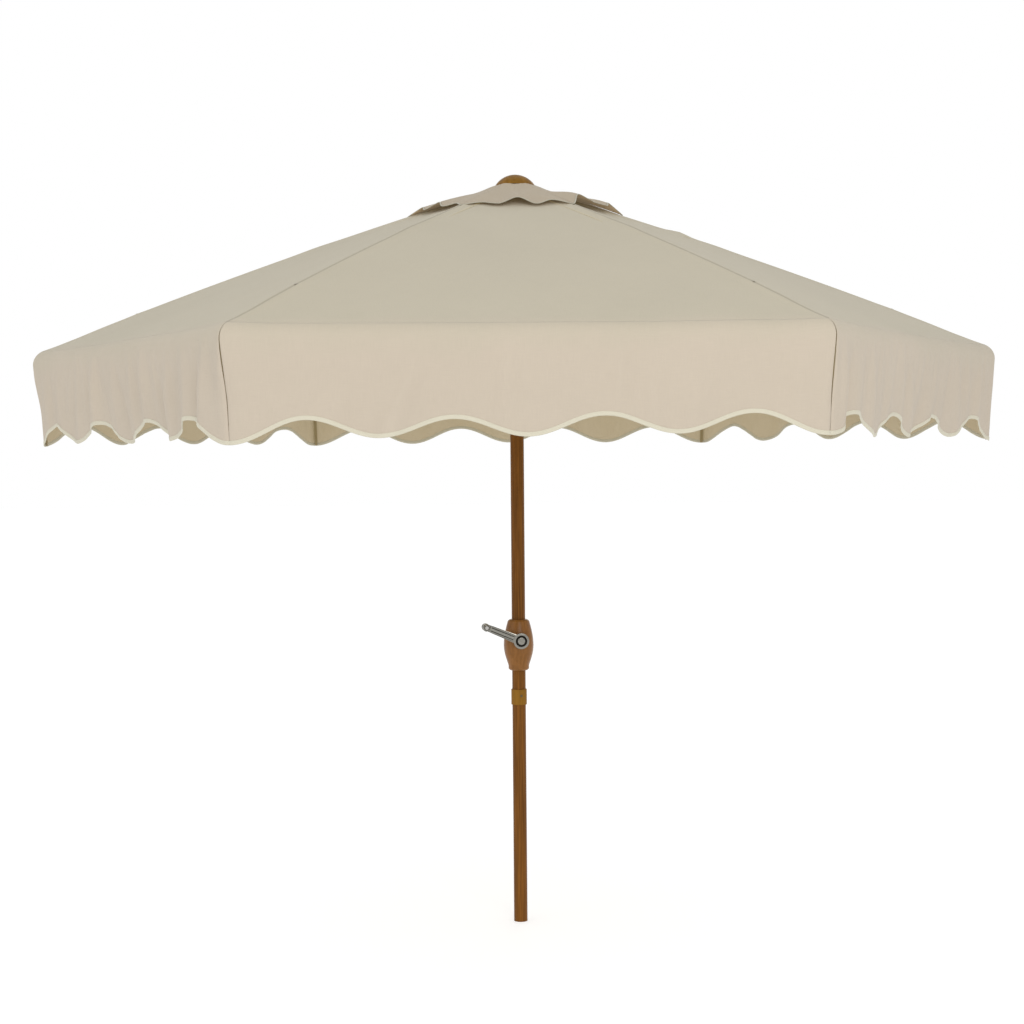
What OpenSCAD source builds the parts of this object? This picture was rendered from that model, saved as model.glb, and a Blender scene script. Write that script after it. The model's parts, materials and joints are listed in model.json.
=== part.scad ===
// Crank-lift garden parasol with a six-sided fabric canopy and a scalloped valance.
// Millimetres. +Z runs up the pole, the origin is the centre of the pole's foot, and the
// canopy's front panel faces -Y. The parasol is drawn open.

/* [Pole] */
// Outside diameter of both pole tubes
pole_d = 38; // [36:0.5:40]
// Wall thickness of the pole tubes
pole_wall = 1.5; // [1:0.25:2]
// Length of the lower pole tube
lower_pole_h = 637.5; // [600:0.5:660]
// Outside diameter of the collar over the pole joint
collar_d = 44; // [42:0.5:50]
// Height of the collar
collar_h = 43; // [36:1:60]

/* [Canopy] */
// Distance from the pole's axis to a corner of the open canopy
canopy_r = 1350; // [1300:5:1400]
// Height at which the ridge lines of the roof would meet
apex_z = 2080; // [2060:1:2100]
// Straight part of the drop from the apex to an eave corner
slope_drop = 405; // [390:1:420]
// Extra drop at the corner caused by the bow of the ribs
bow_drop = 68; // [55:1:80]
// Thickness of the canopy fabric solids
fabric_t = 1.2; // [1:0.1:1.5]
// Radius of the soft fold at the eave
eave_round = 40; // [32:1:44]
// Distance from the apex to the upper edge of the roof panels, along a ridge
roof_inner_r = 125; // [110:1:160]

/* [Valance] */
// Height from the eave to the lowest point of the hem
valance_h = 251; // [200:1:280]
// Number of scallops on one side of the canopy
scallops = 4; // [3:1:6]
// Depth of a scallop
scallop_depth = 54; // [30:1:70]
// Inward lean of the valance in degrees
valance_lean = 3; // [0:0.5:5]

/* [Vent] */
// Distance from the axis to a corner of the vent flap
vent_r = 302; // [280:1:330]
// Height of the vent's apex above the roof's apex
vent_rise = 6; // [5:1:12]
// Fall of the vent for each unit of distance along a ridge
vent_slope = 0.28; // [0.26:0.01:0.3]
// Number of scallops on one side of the vent flap
vent_scallops = 3; // [2:1:4]
// Depth of a vent scallop
vent_scallop_depth = 16; // [8:1:24]

/* [Frame] */
// Width of a rib
rib_w = 12; // [10:0.5:12]
// Height of a rib
rib_h = 18; // [14:0.5:18]
// Distance from the pole's axis to a rib's hinge pin
hinge_r = 35; // [34:0.5:36]
// Distance from the pole's axis to the strut bracket on an open rib
bracket_r = 560; // [520:5:600]
// Depth of the bracket's pin below the rib's centre line
bracket_drop = 22; // [20:1:24]
// Diameter of the hinge pins
pin_d = 6; // [5:0.5:6]
// Height of a stretcher's section
stretcher_h = 14; // [12:1:15]
// Width of a stretcher
stretcher_w = 10; // [8:0.5:10]

/* [Crank] */
// Height of the crank's axle above the foot
crank_z = 799.5; // [785:0.5:800]
// Largest diameter of the crank housing
housing_d = 84; // [80:1:90]
// Diameter of the housing at its two ends
housing_end_d = 58; // [56:1:64]
// Height of the housing's straight lower neck
housing_neck = 14; // [8:1:20]
// Length of the housing above the axle
housing_up = 57; // [52:0.5:75]
// Length of the housing below the axle
housing_down = 86; // [75:0.5:90]
// Compass direction of the crank's axle, in degrees from +X
crank_az = 277; // [260:1:290]
// Distance from the crank's axle to the knob
lever_len = 109; // [80:1:120]
// Angle of the lever above the horizontal
lever_angle = 22.5; // [0:0.5:90]
// Length of the crank knob
knob_h = 29; // [20:1:32]

/* [Finial] */
// Diameter of the finial
finial_d = 112; // [90:1:120]
// Height of the finial's dome
finial_h = 31.5; // [20:0.5:40]

/* [Hidden] */

sides = 6;
side_angle = 360 / sides;
half_angle = side_angle / 2;
round_fn = 64;

pole_r = pole_d / 2;
tube_r = pole_r - pole_wall;
neck_r = pole_r - 0.5;
grip_h = lower_pole_h - collar_h / 2 - 0.5;
fit = 0.08;
slide_fit = 0.5;
seam_gap = 0.5;
pin_r = pin_d / 2;
pin_half = 12;

beige = [0.78, 0.74, 0.67];
pale_beige = [0.82, 0.77, 0.70];
wood_brown = [0.46, 0.30, 0.15];
mustard = [0.54, 0.38, 0.14];
grey_metal = [0.55, 0.55, 0.53];
dark_metal = [0.25, 0.25, 0.26];
black_plastic = [0.12, 0.12, 0.12];
cord_white = [0.85, 0.84, 0.80];

// Ridge height and slope at a distance from the axis, measured along a ridge
function ridge_z(r) = apex_z - slope_drop * r / canopy_r - bow_drop * pow(r / canopy_r, 2);
function ridge_fall(r) = (slope_drop + 2 * bow_drop * r / canopy_r) / canopy_r;

// The same along the middle of a panel
function panel_z(d) = ridge_z(d / cos(half_angle));
function panel_fall(d) = ridge_fall(d / cos(half_angle)) / cos(half_angle);

// Soft fold at the eave: a quarter turn whose centre is also the valance's hinge line
eave_d = canopy_r * cos(half_angle);
fold_d = eave_d - eave_round;
fold_slope = atan(panel_fall(fold_d));
roof_end_d = fold_d + eave_round * sin(fold_slope);
fold_z = panel_z(roof_end_d) - eave_round * cos(fold_slope);
eave_z = ridge_z(canopy_r);
hem_z = eave_z - valance_h;

// Rib centre line: one arc through the hinge pin and the rib's tip
rib_gap = 4;
rib_end_r = 1308;
rib_wall = 1;
function rib_z(r) = ridge_z(r) - rib_gap - rib_h / 2;
hinge_z = rib_z(hinge_r);
rib_run = rib_end_r - hinge_r;
rib_fall = hinge_z - rib_z(rib_end_r);
rib_chord = sqrt(rib_run * rib_run + rib_fall * rib_fall);
rib_slope = atan2(rib_fall, rib_run);
rib_arc_r = pow(1 + pow(tan(rib_slope), 2), 1.5) * canopy_r * canopy_r / (2 * bow_drop);
rib_half_turn = asin(rib_chord / 2 / rib_arc_r);
rib_arc_depth = rib_arc_r * cos(rib_half_turn);
rib_centre_r = (hinge_r + rib_end_r) / 2 - rib_arc_depth * sin(rib_slope);
rib_centre_z = (hinge_z + rib_z(rib_end_r)) / 2 - rib_arc_depth * cos(rib_slope);
rib_tip_slope = rib_slope + rib_half_turn;

// Strut linkage: the strut is as long as the rib's span to its bracket, so the runner's
// pins stay straight below the rib hinges at every opening angle
bracket_z = rib_z(bracket_r) - bracket_drop;
link_run = bracket_r - hinge_r;
link_fall = hinge_z - bracket_z;
link_len = sqrt(link_run * link_run + link_fall * link_fall);
link_angle = atan2(link_fall, link_run);
runner_z = bracket_z - link_fall;
bracket_slope = atan(ridge_fall(bracket_r));

// Top hub
hub_r = 46;
hub_top = 2068;
hub_flange_h = 26;
hub_collar_r = 27;
hub_bottom = 2012;
hub_slot_r = 24;
hub_slot_w = rib_w + 0.8;
pole_top = 2034;
stem_z = 2064.5;
pulley_r = 11.5;
pulley_groove_r = 7.8;
pulley_y = 17;
pulley_z = 2050;
pulley_w = 7;
pulley_pin_r = 2.5;
pulley_pin_half = 12;
cord_r = 1.75;
cord_bend_r = 10;

// Runner
runner_r = 46;
runner_flange_h = 24;
runner_sleeve_r = 24;
runner_up = 16;
runner_down = 38;
runner_slot_w = stretcher_w + 0.8;
cord_hole_r = 2.4;

// Crank housing
shell_t = 3.2;
housing_end_t = 6;
split_gap = 0.2;
screw_y = 28;
screw_up = 34;
screw_down = 48;
screw_r = 2;
screw_head_r = 3.8;
screw_boss_r = 5.5;
seat_r = 24;
seat_x = 43;
spring_room_r = 10;

// Crank and drum
axle_r = 6;
bush_r = 8;
window_r = 15.5;
drum_r = 10;
drum_flange_r = 14.5;
drum_half = 11;
lever_x = 43.6;
lever_hub_r = 22;
lever_hub_h = 12;
lever_t = 7;
knob_r = 10.5;
knob_pin_r = 2.5;

// ---- placing ----
module at_rib(k) {
  rotate([0, 0, side_angle * (k - 1)]) children();
}

module at_panel(k) {
  rotate([0, 0, side_angle * (k - 0.5)]) children();
}

// Puts a shape drawn about +Z with its axis along the crank's axle
module on_axle(x) {
  rotate([0, 0, crank_az]) translate([x, 0, crank_z]) rotate([0, 90, 0]) children();
}

// A cylinder across the rib's plane, centred on it
module cross_pin(r, x, z, half) {
  translate([x, 0, z]) rotate([90, 0, 0]) cylinder(r = r, h = 2 * half, center = true, $fn = round_fn);
}

module ring(outer, inner, h) {
  difference() {
    cylinder(r = outer, h = h, $fn = round_fn);
    translate([0, 0, -1]) cylinder(r = inner, h = h + 2, $fn = round_fn);
  }
}

// ---- pole ----
module screw_hole(r) {
  rotate([0, 0, crank_az + 9]) translate([0, 0, lower_pole_h + 4]) rotate([0, 90, 0])
    cylinder(r = r, h = collar_d, $fn = round_fn);
}

// The wall is a little thinner at the top, where it stands in the collar
module lower_pole() {
  color(wood_brown) {
    ring(pole_r, tube_r, grip_h);
    translate([0, 0, grip_h]) ring(neck_r, tube_r, lower_pole_h - grip_h);
  }
}

module foot_plug() {
  color(black_plastic) difference() {
    cylinder(r = tube_r, h = 25, $fn = round_fn);
    translate([0, 0, 3]) cylinder(r = tube_r - 3, h = 30, $fn = round_fn);
  }
}

module joint_ferrule() {
  color(grey_metal) difference() {
    translate([0, 0, lower_pole_h - 80]) ring(tube_r, tube_r - 1.5, 156);
    screw_hole(screw_r);
  }
}

module joint_collar() {
  color(mustard) difference() {
    union() {
      translate([0, 0, lower_pole_h - collar_h / 2]) ring(collar_d / 2, neck_r, collar_h / 2);
      translate([0, 0, lower_pole_h]) ring(collar_d / 2, pole_r, collar_h / 2);
    }
    screw_hole(screw_r);
  }
}

module collar_screw() {
  color(dark_metal) rotate([0, 0, crank_az + 9]) translate([0, 0, lower_pole_h + 4]) rotate([0, 90, 0]) {
    translate([0, 0, tube_r - 3]) cylinder(r = screw_r, h = collar_d / 2 - tube_r + 3, $fn = round_fn);
    translate([0, 0, collar_d / 2]) cylinder(r = 1.6 * screw_r, h = 1.2, $fn = round_fn);
  }
}

module upper_pole() {
  color(wood_brown) difference() {
    translate([0, 0, lower_pole_h]) ring(pole_r, tube_r, pole_top - lower_pole_h);
    screw_hole(screw_r);
    on_axle(-pole_d) cylinder(r = window_r, h = 2 * pole_d, $fn = round_fn);
  }
}

// ---- crank housing ----
housing_waist = -16;

// Half width at a height above the axle: a belly at housing_waist between two narrow ends
function housing_r(z, inset) =
  let (
    reach = z > housing_waist ? housing_up - housing_waist : housing_down - housing_neck + housing_waist,
    turn = min(90, 90 * abs(z - housing_waist) / reach)
  )
  housing_end_d / 2 + (housing_d - housing_end_d) / 2 * cos(turn) - inset;

// Profile of revolution with chamfered ends
module housing_profile(inset, end_inset) {
  chamfer = 4;
  low = -housing_down + end_inset;
  high = housing_up - end_inset;
  steps = 16;
  heights = [for (i = [0:steps]) low + chamfer + (high - low - 2 * chamfer) * i / steps];
  polygon(concat(
    [[0, low], [housing_r(low, inset) - chamfer, low]],
    [for (z = heights) [housing_r(z, inset), z]],
    [[housing_r(high, inset) - chamfer, high], [0, high]]
  ));
}

module housing_block(inset, end_inset) {
  translate([0, 0, crank_z]) rotate_extrude($fn = 96) housing_profile(inset, end_inset);
}

module at_housing_screws() {
  for (y = [-screw_y, screw_y], z = [-screw_down, screw_up])
    translate([0, y, crank_z + z]) rotate([0, 90, 0]) children();
}

module housing_shell(side) {
  rotate([0, 0, crank_az]) intersection() {
    difference() {
      union() {
        difference() {
          housing_block(0, 0);
          housing_block(shell_t, housing_end_t);
        }
        intersection() {
          housing_block(0, 0);
          at_housing_screws() cylinder(r = screw_boss_r, h = housing_d, center = true, $fn = round_fn);
        }
        intersection() {
          housing_block(0, 0);
          translate([side * (housing_d / 4 + 12), 0, crank_z]) rotate([0, 90, 0])
            cylinder(r = bush_r + 4, h = housing_d / 2, center = true, $fn = round_fn);
        }
        if (side > 0)
          translate([36, 0, crank_z]) rotate([0, 90, 0]) cylinder(r = seat_r, h = seat_x - 36, $fn = round_fn);
      }
      translate([0, 0, crank_z]) cylinder(r = pole_r, h = 400, center = true, $fn = round_fn);
      translate([side > 0 ? 0 : -36, 0, crank_z]) rotate([0, 90, 0])
        cylinder(r = bush_r, h = side > 0 ? 60 : 36, $fn = round_fn);
      if (side > 0)
        translate([0, 0, crank_z]) rotate([0, 90, 0])
          cylinder(r = spring_room_r, h = seat_x - 13.5, $fn = round_fn);
      at_housing_screws() translate([0, 0, -housing_d]) cylinder(r = screw_r, h = housing_d + 14, $fn = round_fn);
      at_housing_screws() translate([0, 0, -18 - housing_d])
        cylinder(r = screw_head_r, h = housing_d, $fn = round_fn);
    }
    translate([side * (100 + split_gap), 0, crank_z]) cube([200, 200, 300], center = true);
  }
}

module housing_front() {
  color(wood_brown) housing_shell(1);
}

module housing_rear() {
  color(wood_brown) housing_shell(-1);
}

module housing_screws() {
  color(dark_metal) rotate([0, 0, crank_az]) at_housing_screws() {
    translate([0, 0, -18]) cylinder(r = screw_r, h = 32, $fn = round_fn);
    translate([0, 0, -21]) cylinder(r = screw_head_r, h = 3, $fn = round_fn);
  }
}

module axle_bushes() {
  color(black_plastic) {
    on_axle(-36) ring(bush_r, axle_r + fit, 12);
    on_axle(seat_x - 13) ring(bush_r, axle_r + fit, 13);
  }
}

// Closed wire spring wound on the axle: rings of a six-sided tube joined along a helix
module brake_spring() {
  turns = 6;
  steps = 12 * turns;
  mid_r = 8.4;
  wire_r = 0.8;
  pitch = 1.75;
  wire_sides = 6;
  points = [
    for (i = [0:steps], j = [0:wire_sides - 1])
      let (a = 360 * turns * i / steps, b = 360 * j / wire_sides, r = mid_r + wire_r * cos(b))
      [r * cos(a), r * sin(a), pitch * turns * i / steps + wire_r * sin(b)]
  ];
  walls = [
    for (i = [0:steps - 1], j = [0:wire_sides - 1])
      let (n = (j + 1) % wire_sides, a = i * wire_sides)
      [a + j, a + n, a + wire_sides + n, a + wire_sides + j]
  ];
  first_cap = [for (j = [wire_sides - 1:-1:0]) j];
  last_cap = [for (j = [0:wire_sides - 1]) steps * wire_sides + j];
  color(grey_metal) on_axle(17.5) polyhedron(points, concat(walls, [first_cap, last_cap]));
}

// ---- crank and drum ----
module cord_drum() {
  color(dark_metal) {
    difference() {
      on_axle(-35) cylinder(r = axle_r, h = lever_x + 6.4 + 35, $fn = round_fn);
      on_axle(lever_x - 9) cylinder(r = 2.5, h = 30, $fn = round_fn);
    }
    on_axle(-drum_half) ring(drum_r, axle_r, 2 * drum_half);
    for (x = [-drum_half - 2, drum_half]) on_axle(x) ring(drum_flange_r, axle_r, 2);
  }
  color(cord_white) for (x = [-2.5:2.5]) on_axle(3.6 * x)
    rotate_extrude($fn = round_fn) translate([drum_r + cord_r, 0]) circle(r = cord_r - 0.02, $fn = 16);
}

// Lever outline in the plane of the crank, pointing along +X
module lever_outline() {
  circle(r = lever_hub_r, $fn = round_fn);
  polygon([[0, 13], [lever_len, 9], [lever_len, -9], [0, -13]]);
  translate([lever_len, 0]) circle(r = knob_r, $fn = round_fn);
}

module on_crank(x) {
  on_axle(x) rotate([0, 0, -90 - lever_angle]) children();
}

module crank_lever() {
  color(grey_metal) difference() {
    union() {
      on_crank(lever_x + 3) linear_extrude(height = lever_t) lever_outline();
      on_crank(lever_x) cylinder(r = lever_hub_r, h = lever_hub_h, $fn = round_fn);
    }
    on_axle(lever_x - 1) cylinder(r = axle_r, h = 7.4, $fn = round_fn);
    on_axle(lever_x) cylinder(r = 2.5, h = 20, $fn = round_fn);
    on_axle(lever_x + 8.4) cylinder(r = 16, h = 10, $fn = round_fn);
    for (y = [-4.5, 4.5])
      on_crank(lever_x + 3 + lever_t - 1.2) translate([27, y - 1.5, 0]) cube([56, 3, 3]);
    on_crank(lever_x) translate([lever_len, 0, 0]) cylinder(r = knob_pin_r, h = 20, $fn = round_fn);
  }
}

module crank_screw() {
  color(grey_metal) {
    on_axle(lever_x - 8) cylinder(r = 2.5, h = 16.4, $fn = round_fn);
    difference() {
      on_axle(lever_x + 8.4) cylinder(r = 10, h = 4.5, $fn = round_fn);
      on_crank(lever_x + 11.4) translate([-12, -1, 0]) cube([24, 2, 3]);
    }
  }
}

knob_x = lever_x + 3 + lever_t + 0.5;

module knob_pin() {
  color(grey_metal) {
    on_crank(lever_x + 3) translate([lever_len, 0, 0])
      cylinder(r = knob_pin_r, h = knob_x + knob_h + 0.3 - lever_x - 3, $fn = round_fn);
    on_crank(knob_x + knob_h + 0.3) translate([lever_len, 0, 0]) cylinder(r = 5, h = 1.8, $fn = round_fn);
  }
}

module crank_knob() {
  color(grey_metal) on_crank(knob_x) translate([lever_len, 0, 0]) rotate_extrude($fn = round_fn)
    polygon([
      [knob_pin_r + fit, 0],
      [knob_r - 2.5, 0],
      [knob_r - 1.5, 3],
      [knob_r, knob_h * 0.6],
      [knob_r, knob_h - 4],
      [knob_r - 2, knob_h],
      [knob_pin_r + fit, knob_h]
    ]);
}

// ---- top hub ----
module slots(inner_r, width, low, high) {
  for (k = [1:6]) at_rib(k)
    translate([inner_r, -width / 2, low]) cube([60, width, high - low]);
}

module top_hub() {
  color(black_plastic) difference() {
    union() {
      translate([0, 0, hub_top - hub_flange_h]) cylinder(r = hub_r, h = hub_flange_h, $fn = round_fn);
      translate([0, 0, hub_bottom]) cylinder(r = hub_collar_r, h = hub_top - hub_bottom - 1, $fn = round_fn);
    }
    translate([0, 0, hub_bottom - 1]) cylinder(r = pole_r, h = pole_top - hub_bottom + 1, $fn = round_fn);
    slots(hub_slot_r, hub_slot_w, hub_bottom - 1, hub_top + 1);
    for (k = [1:6]) at_rib(k) cross_pin(pin_r, hinge_r, hinge_z, pin_half);
    translate([-pulley_w / 2 - 1, 5, pole_top - 1]) cube([pulley_w + 2, 25.5, 29.5]);
    translate([-3, 24, hub_bottom - 1]) cube([6, 6.5, 40]);
    translate([0, pulley_y, pulley_z]) rotate([0, 90, 0])
      cylinder(r = pulley_pin_r, h = 2 * pulley_pin_half, center = true, $fn = round_fn);
    translate([0, 0, stem_z]) cylinder(r = 4, h = 10, $fn = round_fn);
  }
}

module hub_pins() {
  color(grey_metal) for (k = [1:6]) at_rib(k) cross_pin(pin_r, hinge_r, hinge_z, pin_half);
}

module cord_pulley() {
  half = pulley_w / 2;
  color(black_plastic) translate([0, pulley_y, pulley_z]) rotate([0, 90, 0]) rotate_extrude($fn = round_fn)
    polygon([
      [pulley_pin_r + fit, -half],
      [pulley_r, -half],
      [pulley_r, -half + 0.8],
      [pulley_groove_r - 0.1, -1.2],
      [pulley_groove_r - 0.1, 1.2],
      [pulley_r, half - 0.8],
      [pulley_r, half],
      [pulley_pin_r + fit, half]
    ]);
}

module pulley_pin() {
  color(grey_metal) translate([0, pulley_y, pulley_z]) rotate([0, 90, 0])
    cylinder(r = pulley_pin_r, h = 2 * pulley_pin_half, center = true, $fn = round_fn);
}

// Dome with a hollow underside, on a stem in the hub
module finial() {
  base_z = apex_z - 8;
  rim_h = 2;
  hollow = 8;
  rise = finial_h - rim_h;
  half = finial_d / 2 - 1;
  dome_r = (half * half + rise * rise) / (2 * rise);
  dome_turn = asin(half / dome_r);
  color(wood_brown) {
    translate([0, 0, base_z]) rotate_extrude($fn = 96) polygon(concat(
      [[0, hollow], [36, hollow], [50, 0], [half, 0], [finial_d / 2, 0.8]],
      [for (i = [0:10]) let (a = dome_turn * (1 - i / 10))
        [dome_r * sin(a), finial_h - dome_r * (1 - cos(a))]]
    ));
    translate([0, 0, stem_z]) cylinder(r = 4, h = base_z + hollow - stem_z, $fn = round_fn);
  }
}

// ---- lift cord ----
// The cord runs from its knot under the runner, up and over the pulley, and down inside
// the pole to the drum
drum_side = [-sin(crank_az), cos(crank_az)] * (drum_r + cord_r);
cord_route = concat(
  [[0, 27, 1652], [0, 27, 1700], [0, 27, 1850], [0, 27, 2000]],
  [for (i = [0:6]) [0, pulley_y + cord_bend_r * cos(30 * i), pulley_z + cord_bend_r * sin(30 * i)]],
  [[0, 7, 2000], [2, 6, 1800], [6, 4, 1400], [10, 2.6, 1000]],
  [for (up = [75, 11.5]) [drum_side[0], drum_side[1], crank_z + up]]
);

function unit(v) = v / norm(v);

module cord_tube(route, r, n) {
  last = len(route) - 1;
  points = [
    for (i = [0:last])
      let (
        along = unit(route[min(i + 1, last)] - route[max(i - 1, 0)]),
        side = unit([1, 0, 0] - along * along[0]),
        up = cross(along, side)
      )
      for (j = [0:n - 1]) route[i] + r * (cos(360 * j / n) * side + sin(360 * j / n) * up)
  ];
  walls = [
    for (i = [0:last - 1], j = [0:n - 1])
      let (m = (j + 1) % n) [i * n + m, i * n + j, (i + 1) * n + j, (i + 1) * n + m]
  ];
  polyhedron(points, concat(walls, [[for (j = [0:n - 1]) j], [for (j = [n - 1:-1:0]) last * n + j]]));
}

module lift_cord() {
  color(cord_white) {
    cord_tube(cord_route, cord_r, 8);
    translate([0, 27, 1658.5]) sphere(r = 2.9, $fn = 24);
  }
}

// ---- runner ----
module runner() {
  color(black_plastic) translate([0, 0, runner_z]) difference() {
    union() {
      translate([0, 0, -runner_flange_h / 2]) cylinder(r = runner_r, h = runner_flange_h, $fn = round_fn);
      translate([0, 0, -runner_down])
        cylinder(r = runner_sleeve_r, h = runner_up + runner_down, $fn = round_fn);
    }
    cylinder(r = pole_r + slide_fit, h = 200, center = true, $fn = round_fn);
    slots(runner_sleeve_r + 1, runner_slot_w, -runner_flange_h / 2 - 1, runner_flange_h / 2 + 1);
    for (k = [1:6]) at_rib(k) cross_pin(pin_r, hinge_r, 0, pin_half);
    translate([0, 27, 0]) cylinder(r = cord_hole_r, h = 60, center = true, $fn = round_fn);
  }
}

module runner_pins() {
  color(grey_metal) for (k = [1:6]) at_rib(k) cross_pin(pin_r, hinge_r, runner_z, pin_half);
}

// ---- ribs ----
// Band that follows the rib's arc, drawn in the rib's own upright plane
module rib_bend(height, width) {
  steps = 14;
  function at(i, r) = let (a = 90 - rib_tip_slope + 2 * rib_half_turn * i / steps)
    [rib_centre_r + r * cos(a), rib_centre_z + r * sin(a)];
  rotate([90, 0, 0]) linear_extrude(height = width, center = true) polygon(concat(
    [for (i = [0:steps]) at(i, rib_arc_r + height / 2)],
    [for (i = [steps:-1:0]) at(i, rib_arc_r - height / 2)]
  ));
}

module rib(k) {
  color(grey_metal) at_rib(k) difference() {
    union() {
      difference() {
        rib_bend(rib_h, rib_w);
        rib_bend(rib_h - 2 * rib_wall, rib_w - 2 * rib_wall);
      }
      cross_pin(rib_h / 2, hinge_r, hinge_z, rib_w / 2);
    }
    cross_pin(pin_r + fit, hinge_r, hinge_z, rib_w);
    cross_pin(rivet_r, bracket_r, rib_z(bracket_r), rib_w);
    at_stud(-rib_gap - 6) cylinder(r = stud_shank_r + fit, h = 10, $fn = round_fn);
  }
}

rivet_r = 2.5;
ear_t = 2;
ear_r = 8;
stud_r = 1060;
stud_shank_r = 2;
stud_head_r = 3.5;

// Strut bracket with its pin and rivet, roof stud and tip cap of one rib
module rib_fittings(k) {
  at_rib(k) {
    color(grey_metal) {
      difference() {
        for (side = [-1, 1]) translate([0, side * (rib_w + ear_t) / 2, 0]) bracket_ear();
        cross_pin(pin_r, bracket_r, bracket_z, rib_w);
        cross_pin(rivet_r, bracket_r, rib_z(bracket_r), rib_w);
      }
      cross_pin(pin_r, bracket_r, bracket_z, rib_w / 2 + ear_t + 1);
      cross_pin(rivet_r, bracket_r, rib_z(bracket_r), rib_w / 2 + ear_t + 1);
    }
    color(dark_metal) roof_stud();
    color(black_plastic) tip_cap();
  }
}

module bracket_ear() {
  top = rib_z(bracket_r) + rib_h / 2 - 3;
  translate([bracket_r, 0, 0]) rotate([90, 0, 0]) linear_extrude(height = ear_t, center = true) {
    translate([0, bracket_z]) circle(r = ear_r, $fn = round_fn);
    polygon([[-ear_r, bracket_z], [ear_r, bracket_z], [ear_r + 6, top - 5], [-ear_r - 6, top]]);
  }
}

// Along the stud's own line, a distance out of the roof
module at_stud(out) {
  translate([stud_r, 0, ridge_z(stud_r)]) rotate([0, atan(ridge_fall(stud_r)), 0])
    translate([0, 0, out]) children();
}

module roof_stud() {
  at_stud(-rib_gap - 3) cylinder(r = stud_shank_r, h = rib_gap + 3.6, $fn = round_fn);
  at_stud(0.6) cylinder(r = stud_head_r, h = 1.4, $fn = round_fn);
}

module tip_cap() {
  plug_w = rib_w - 2 * rib_wall - 0.6;
  plug_h = rib_h - 2 * rib_wall - 0.6;
  translate([rib_end_r, 0, rib_z(rib_end_r)]) rotate([0, rib_tip_slope, 0]) {
    translate([-20, -plug_w / 2, -plug_h / 2]) cube([21, plug_w, plug_h]);
    rotate([90, 0, 0]) linear_extrude(height = rib_w + 1, center = true) polygon(concat(
      [[0.1, -rib_h / 2]],
      [for (a = [-90:10:90]) [5 + rib_h / 2 * cos(a), rib_h / 2 * sin(a)]],
      [[0.1, rib_h / 2]]
    ));
  }
}

// ---- stretchers ----
module stretcher(k) {
  color(grey_metal) at_rib(k) translate([hinge_r, 0, runner_z]) rotate([0, -link_angle, 0]) difference() {
    union() {
      difference() {
        translate([0, -stretcher_w / 2, -stretcher_h / 2]) cube([link_len, stretcher_w, stretcher_h]);
        translate([0, -stretcher_w / 2 + 1, -stretcher_h / 2 + 1])
          cube([link_len, stretcher_w - 2, stretcher_h - 2]);
      }
      cross_pin(stretcher_h / 2, 0, 0, stretcher_w / 2);
      cross_pin(stretcher_h / 2, link_len, 0, stretcher_w / 2);
    }
    cross_pin(pin_r + fit, 0, 0, rib_w);
    cross_pin(pin_r + fit, link_len, 0, rib_w);
  }
}

// ---- fabric ----
// The sector of one canopy side, drawn about +X, with half a seam's gap on each edge
module sector(low, high) {
  reach = canopy_r + 50;
  start = seam_gap / sin(half_angle);
  translate([0, 0, low]) linear_extrude(height = high - low)
    polygon([
      [start, 0],
      [start + reach * cos(half_angle), -reach * sin(half_angle)],
      [start + reach * cos(half_angle), reach * sin(half_angle)]
    ]);
}

// A sheet whose profile, in (distance from the axis, height), runs straight across the panel
module across_panel(profile) {
  rotate([90, 0, 0]) linear_extrude(height = 2 * canopy_r, center = true) polygon(profile);
}

module roof_panel(k) {
  steps = 12;
  start_d = roof_inner_r * cos(half_angle);
  end_d = roof_end_d - 0.5;
  run = [for (i = [0:steps]) start_d + (end_d - start_d) * i / steps];
  over = [for (d = run) [d, panel_z(d)]];
  under = [for (i = [steps:-1:0]) let (s = atan(panel_fall(run[i])))
    [run[i] - fabric_t * sin(s), panel_z(run[i]) - fabric_t * cos(s)]];
  color(beige) at_panel(k) difference() {
    intersection() {
      across_panel(concat(over, under));
      sector(eave_z - 100, apex_z + 100);
    }
    for (turn = [-half_angle, half_angle]) rotate([0, 0, turn])
      translate([stud_r, 0, eave_z]) cylinder(r = stud_shank_r + 0.6, h = 300, $fn = 24);
  }
}

// Hem line of a scalloped edge, as height above the lowest points at a share of the side
function scallop(u, count, depth) = depth * (1 - cos(360 * count * u)) / 2;

module valance(k) {
  arc_steps = 6;
  start_turn = 90 - fold_slope;
  outer = [for (i = [0:arc_steps]) let (a = start_turn + (-valance_lean - start_turn) * i / arc_steps)
    [fold_d + eave_round * cos(a), fold_z + eave_round * sin(a)]];
  inner = [for (i = [arc_steps:-1:0]) let (a = start_turn + (-valance_lean - start_turn) * i / arc_steps)
    [fold_d + (eave_round - fabric_t) * cos(a), fold_z + (eave_round - fabric_t) * sin(a)]];
  color(pale_beige) at_panel(k) intersection() {
    union() {
      across_panel(concat(outer, inner));
      translate([fold_d, 0, fold_z]) rotate([0, valance_lean, 0]) translate([eave_round, 0, 0]) skirt();
    }
    sector(hem_z - 10, eave_z + 50);
  }
}

// Flat scalloped skirt, hanging from the line z = 0 with its outer face at x = 0
module skirt() {
  fall = (fold_z - hem_z) / cos(valance_lean);
  half = canopy_r * sin(half_angle);
  steps = 12 * scallops;
  edge = [for (i = [0:steps]) let (u = i / steps)
    [half - 2 * half * u, -fall + scallop(u, scallops, scallop_depth)]];
  rotate([90, 0, -90]) linear_extrude(height = fabric_t)
    polygon(concat([[-half - 5, 0], [half + 5, 0], [half + 5, -fall]], edge, [[-half - 5, -fall]]));
}

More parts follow.
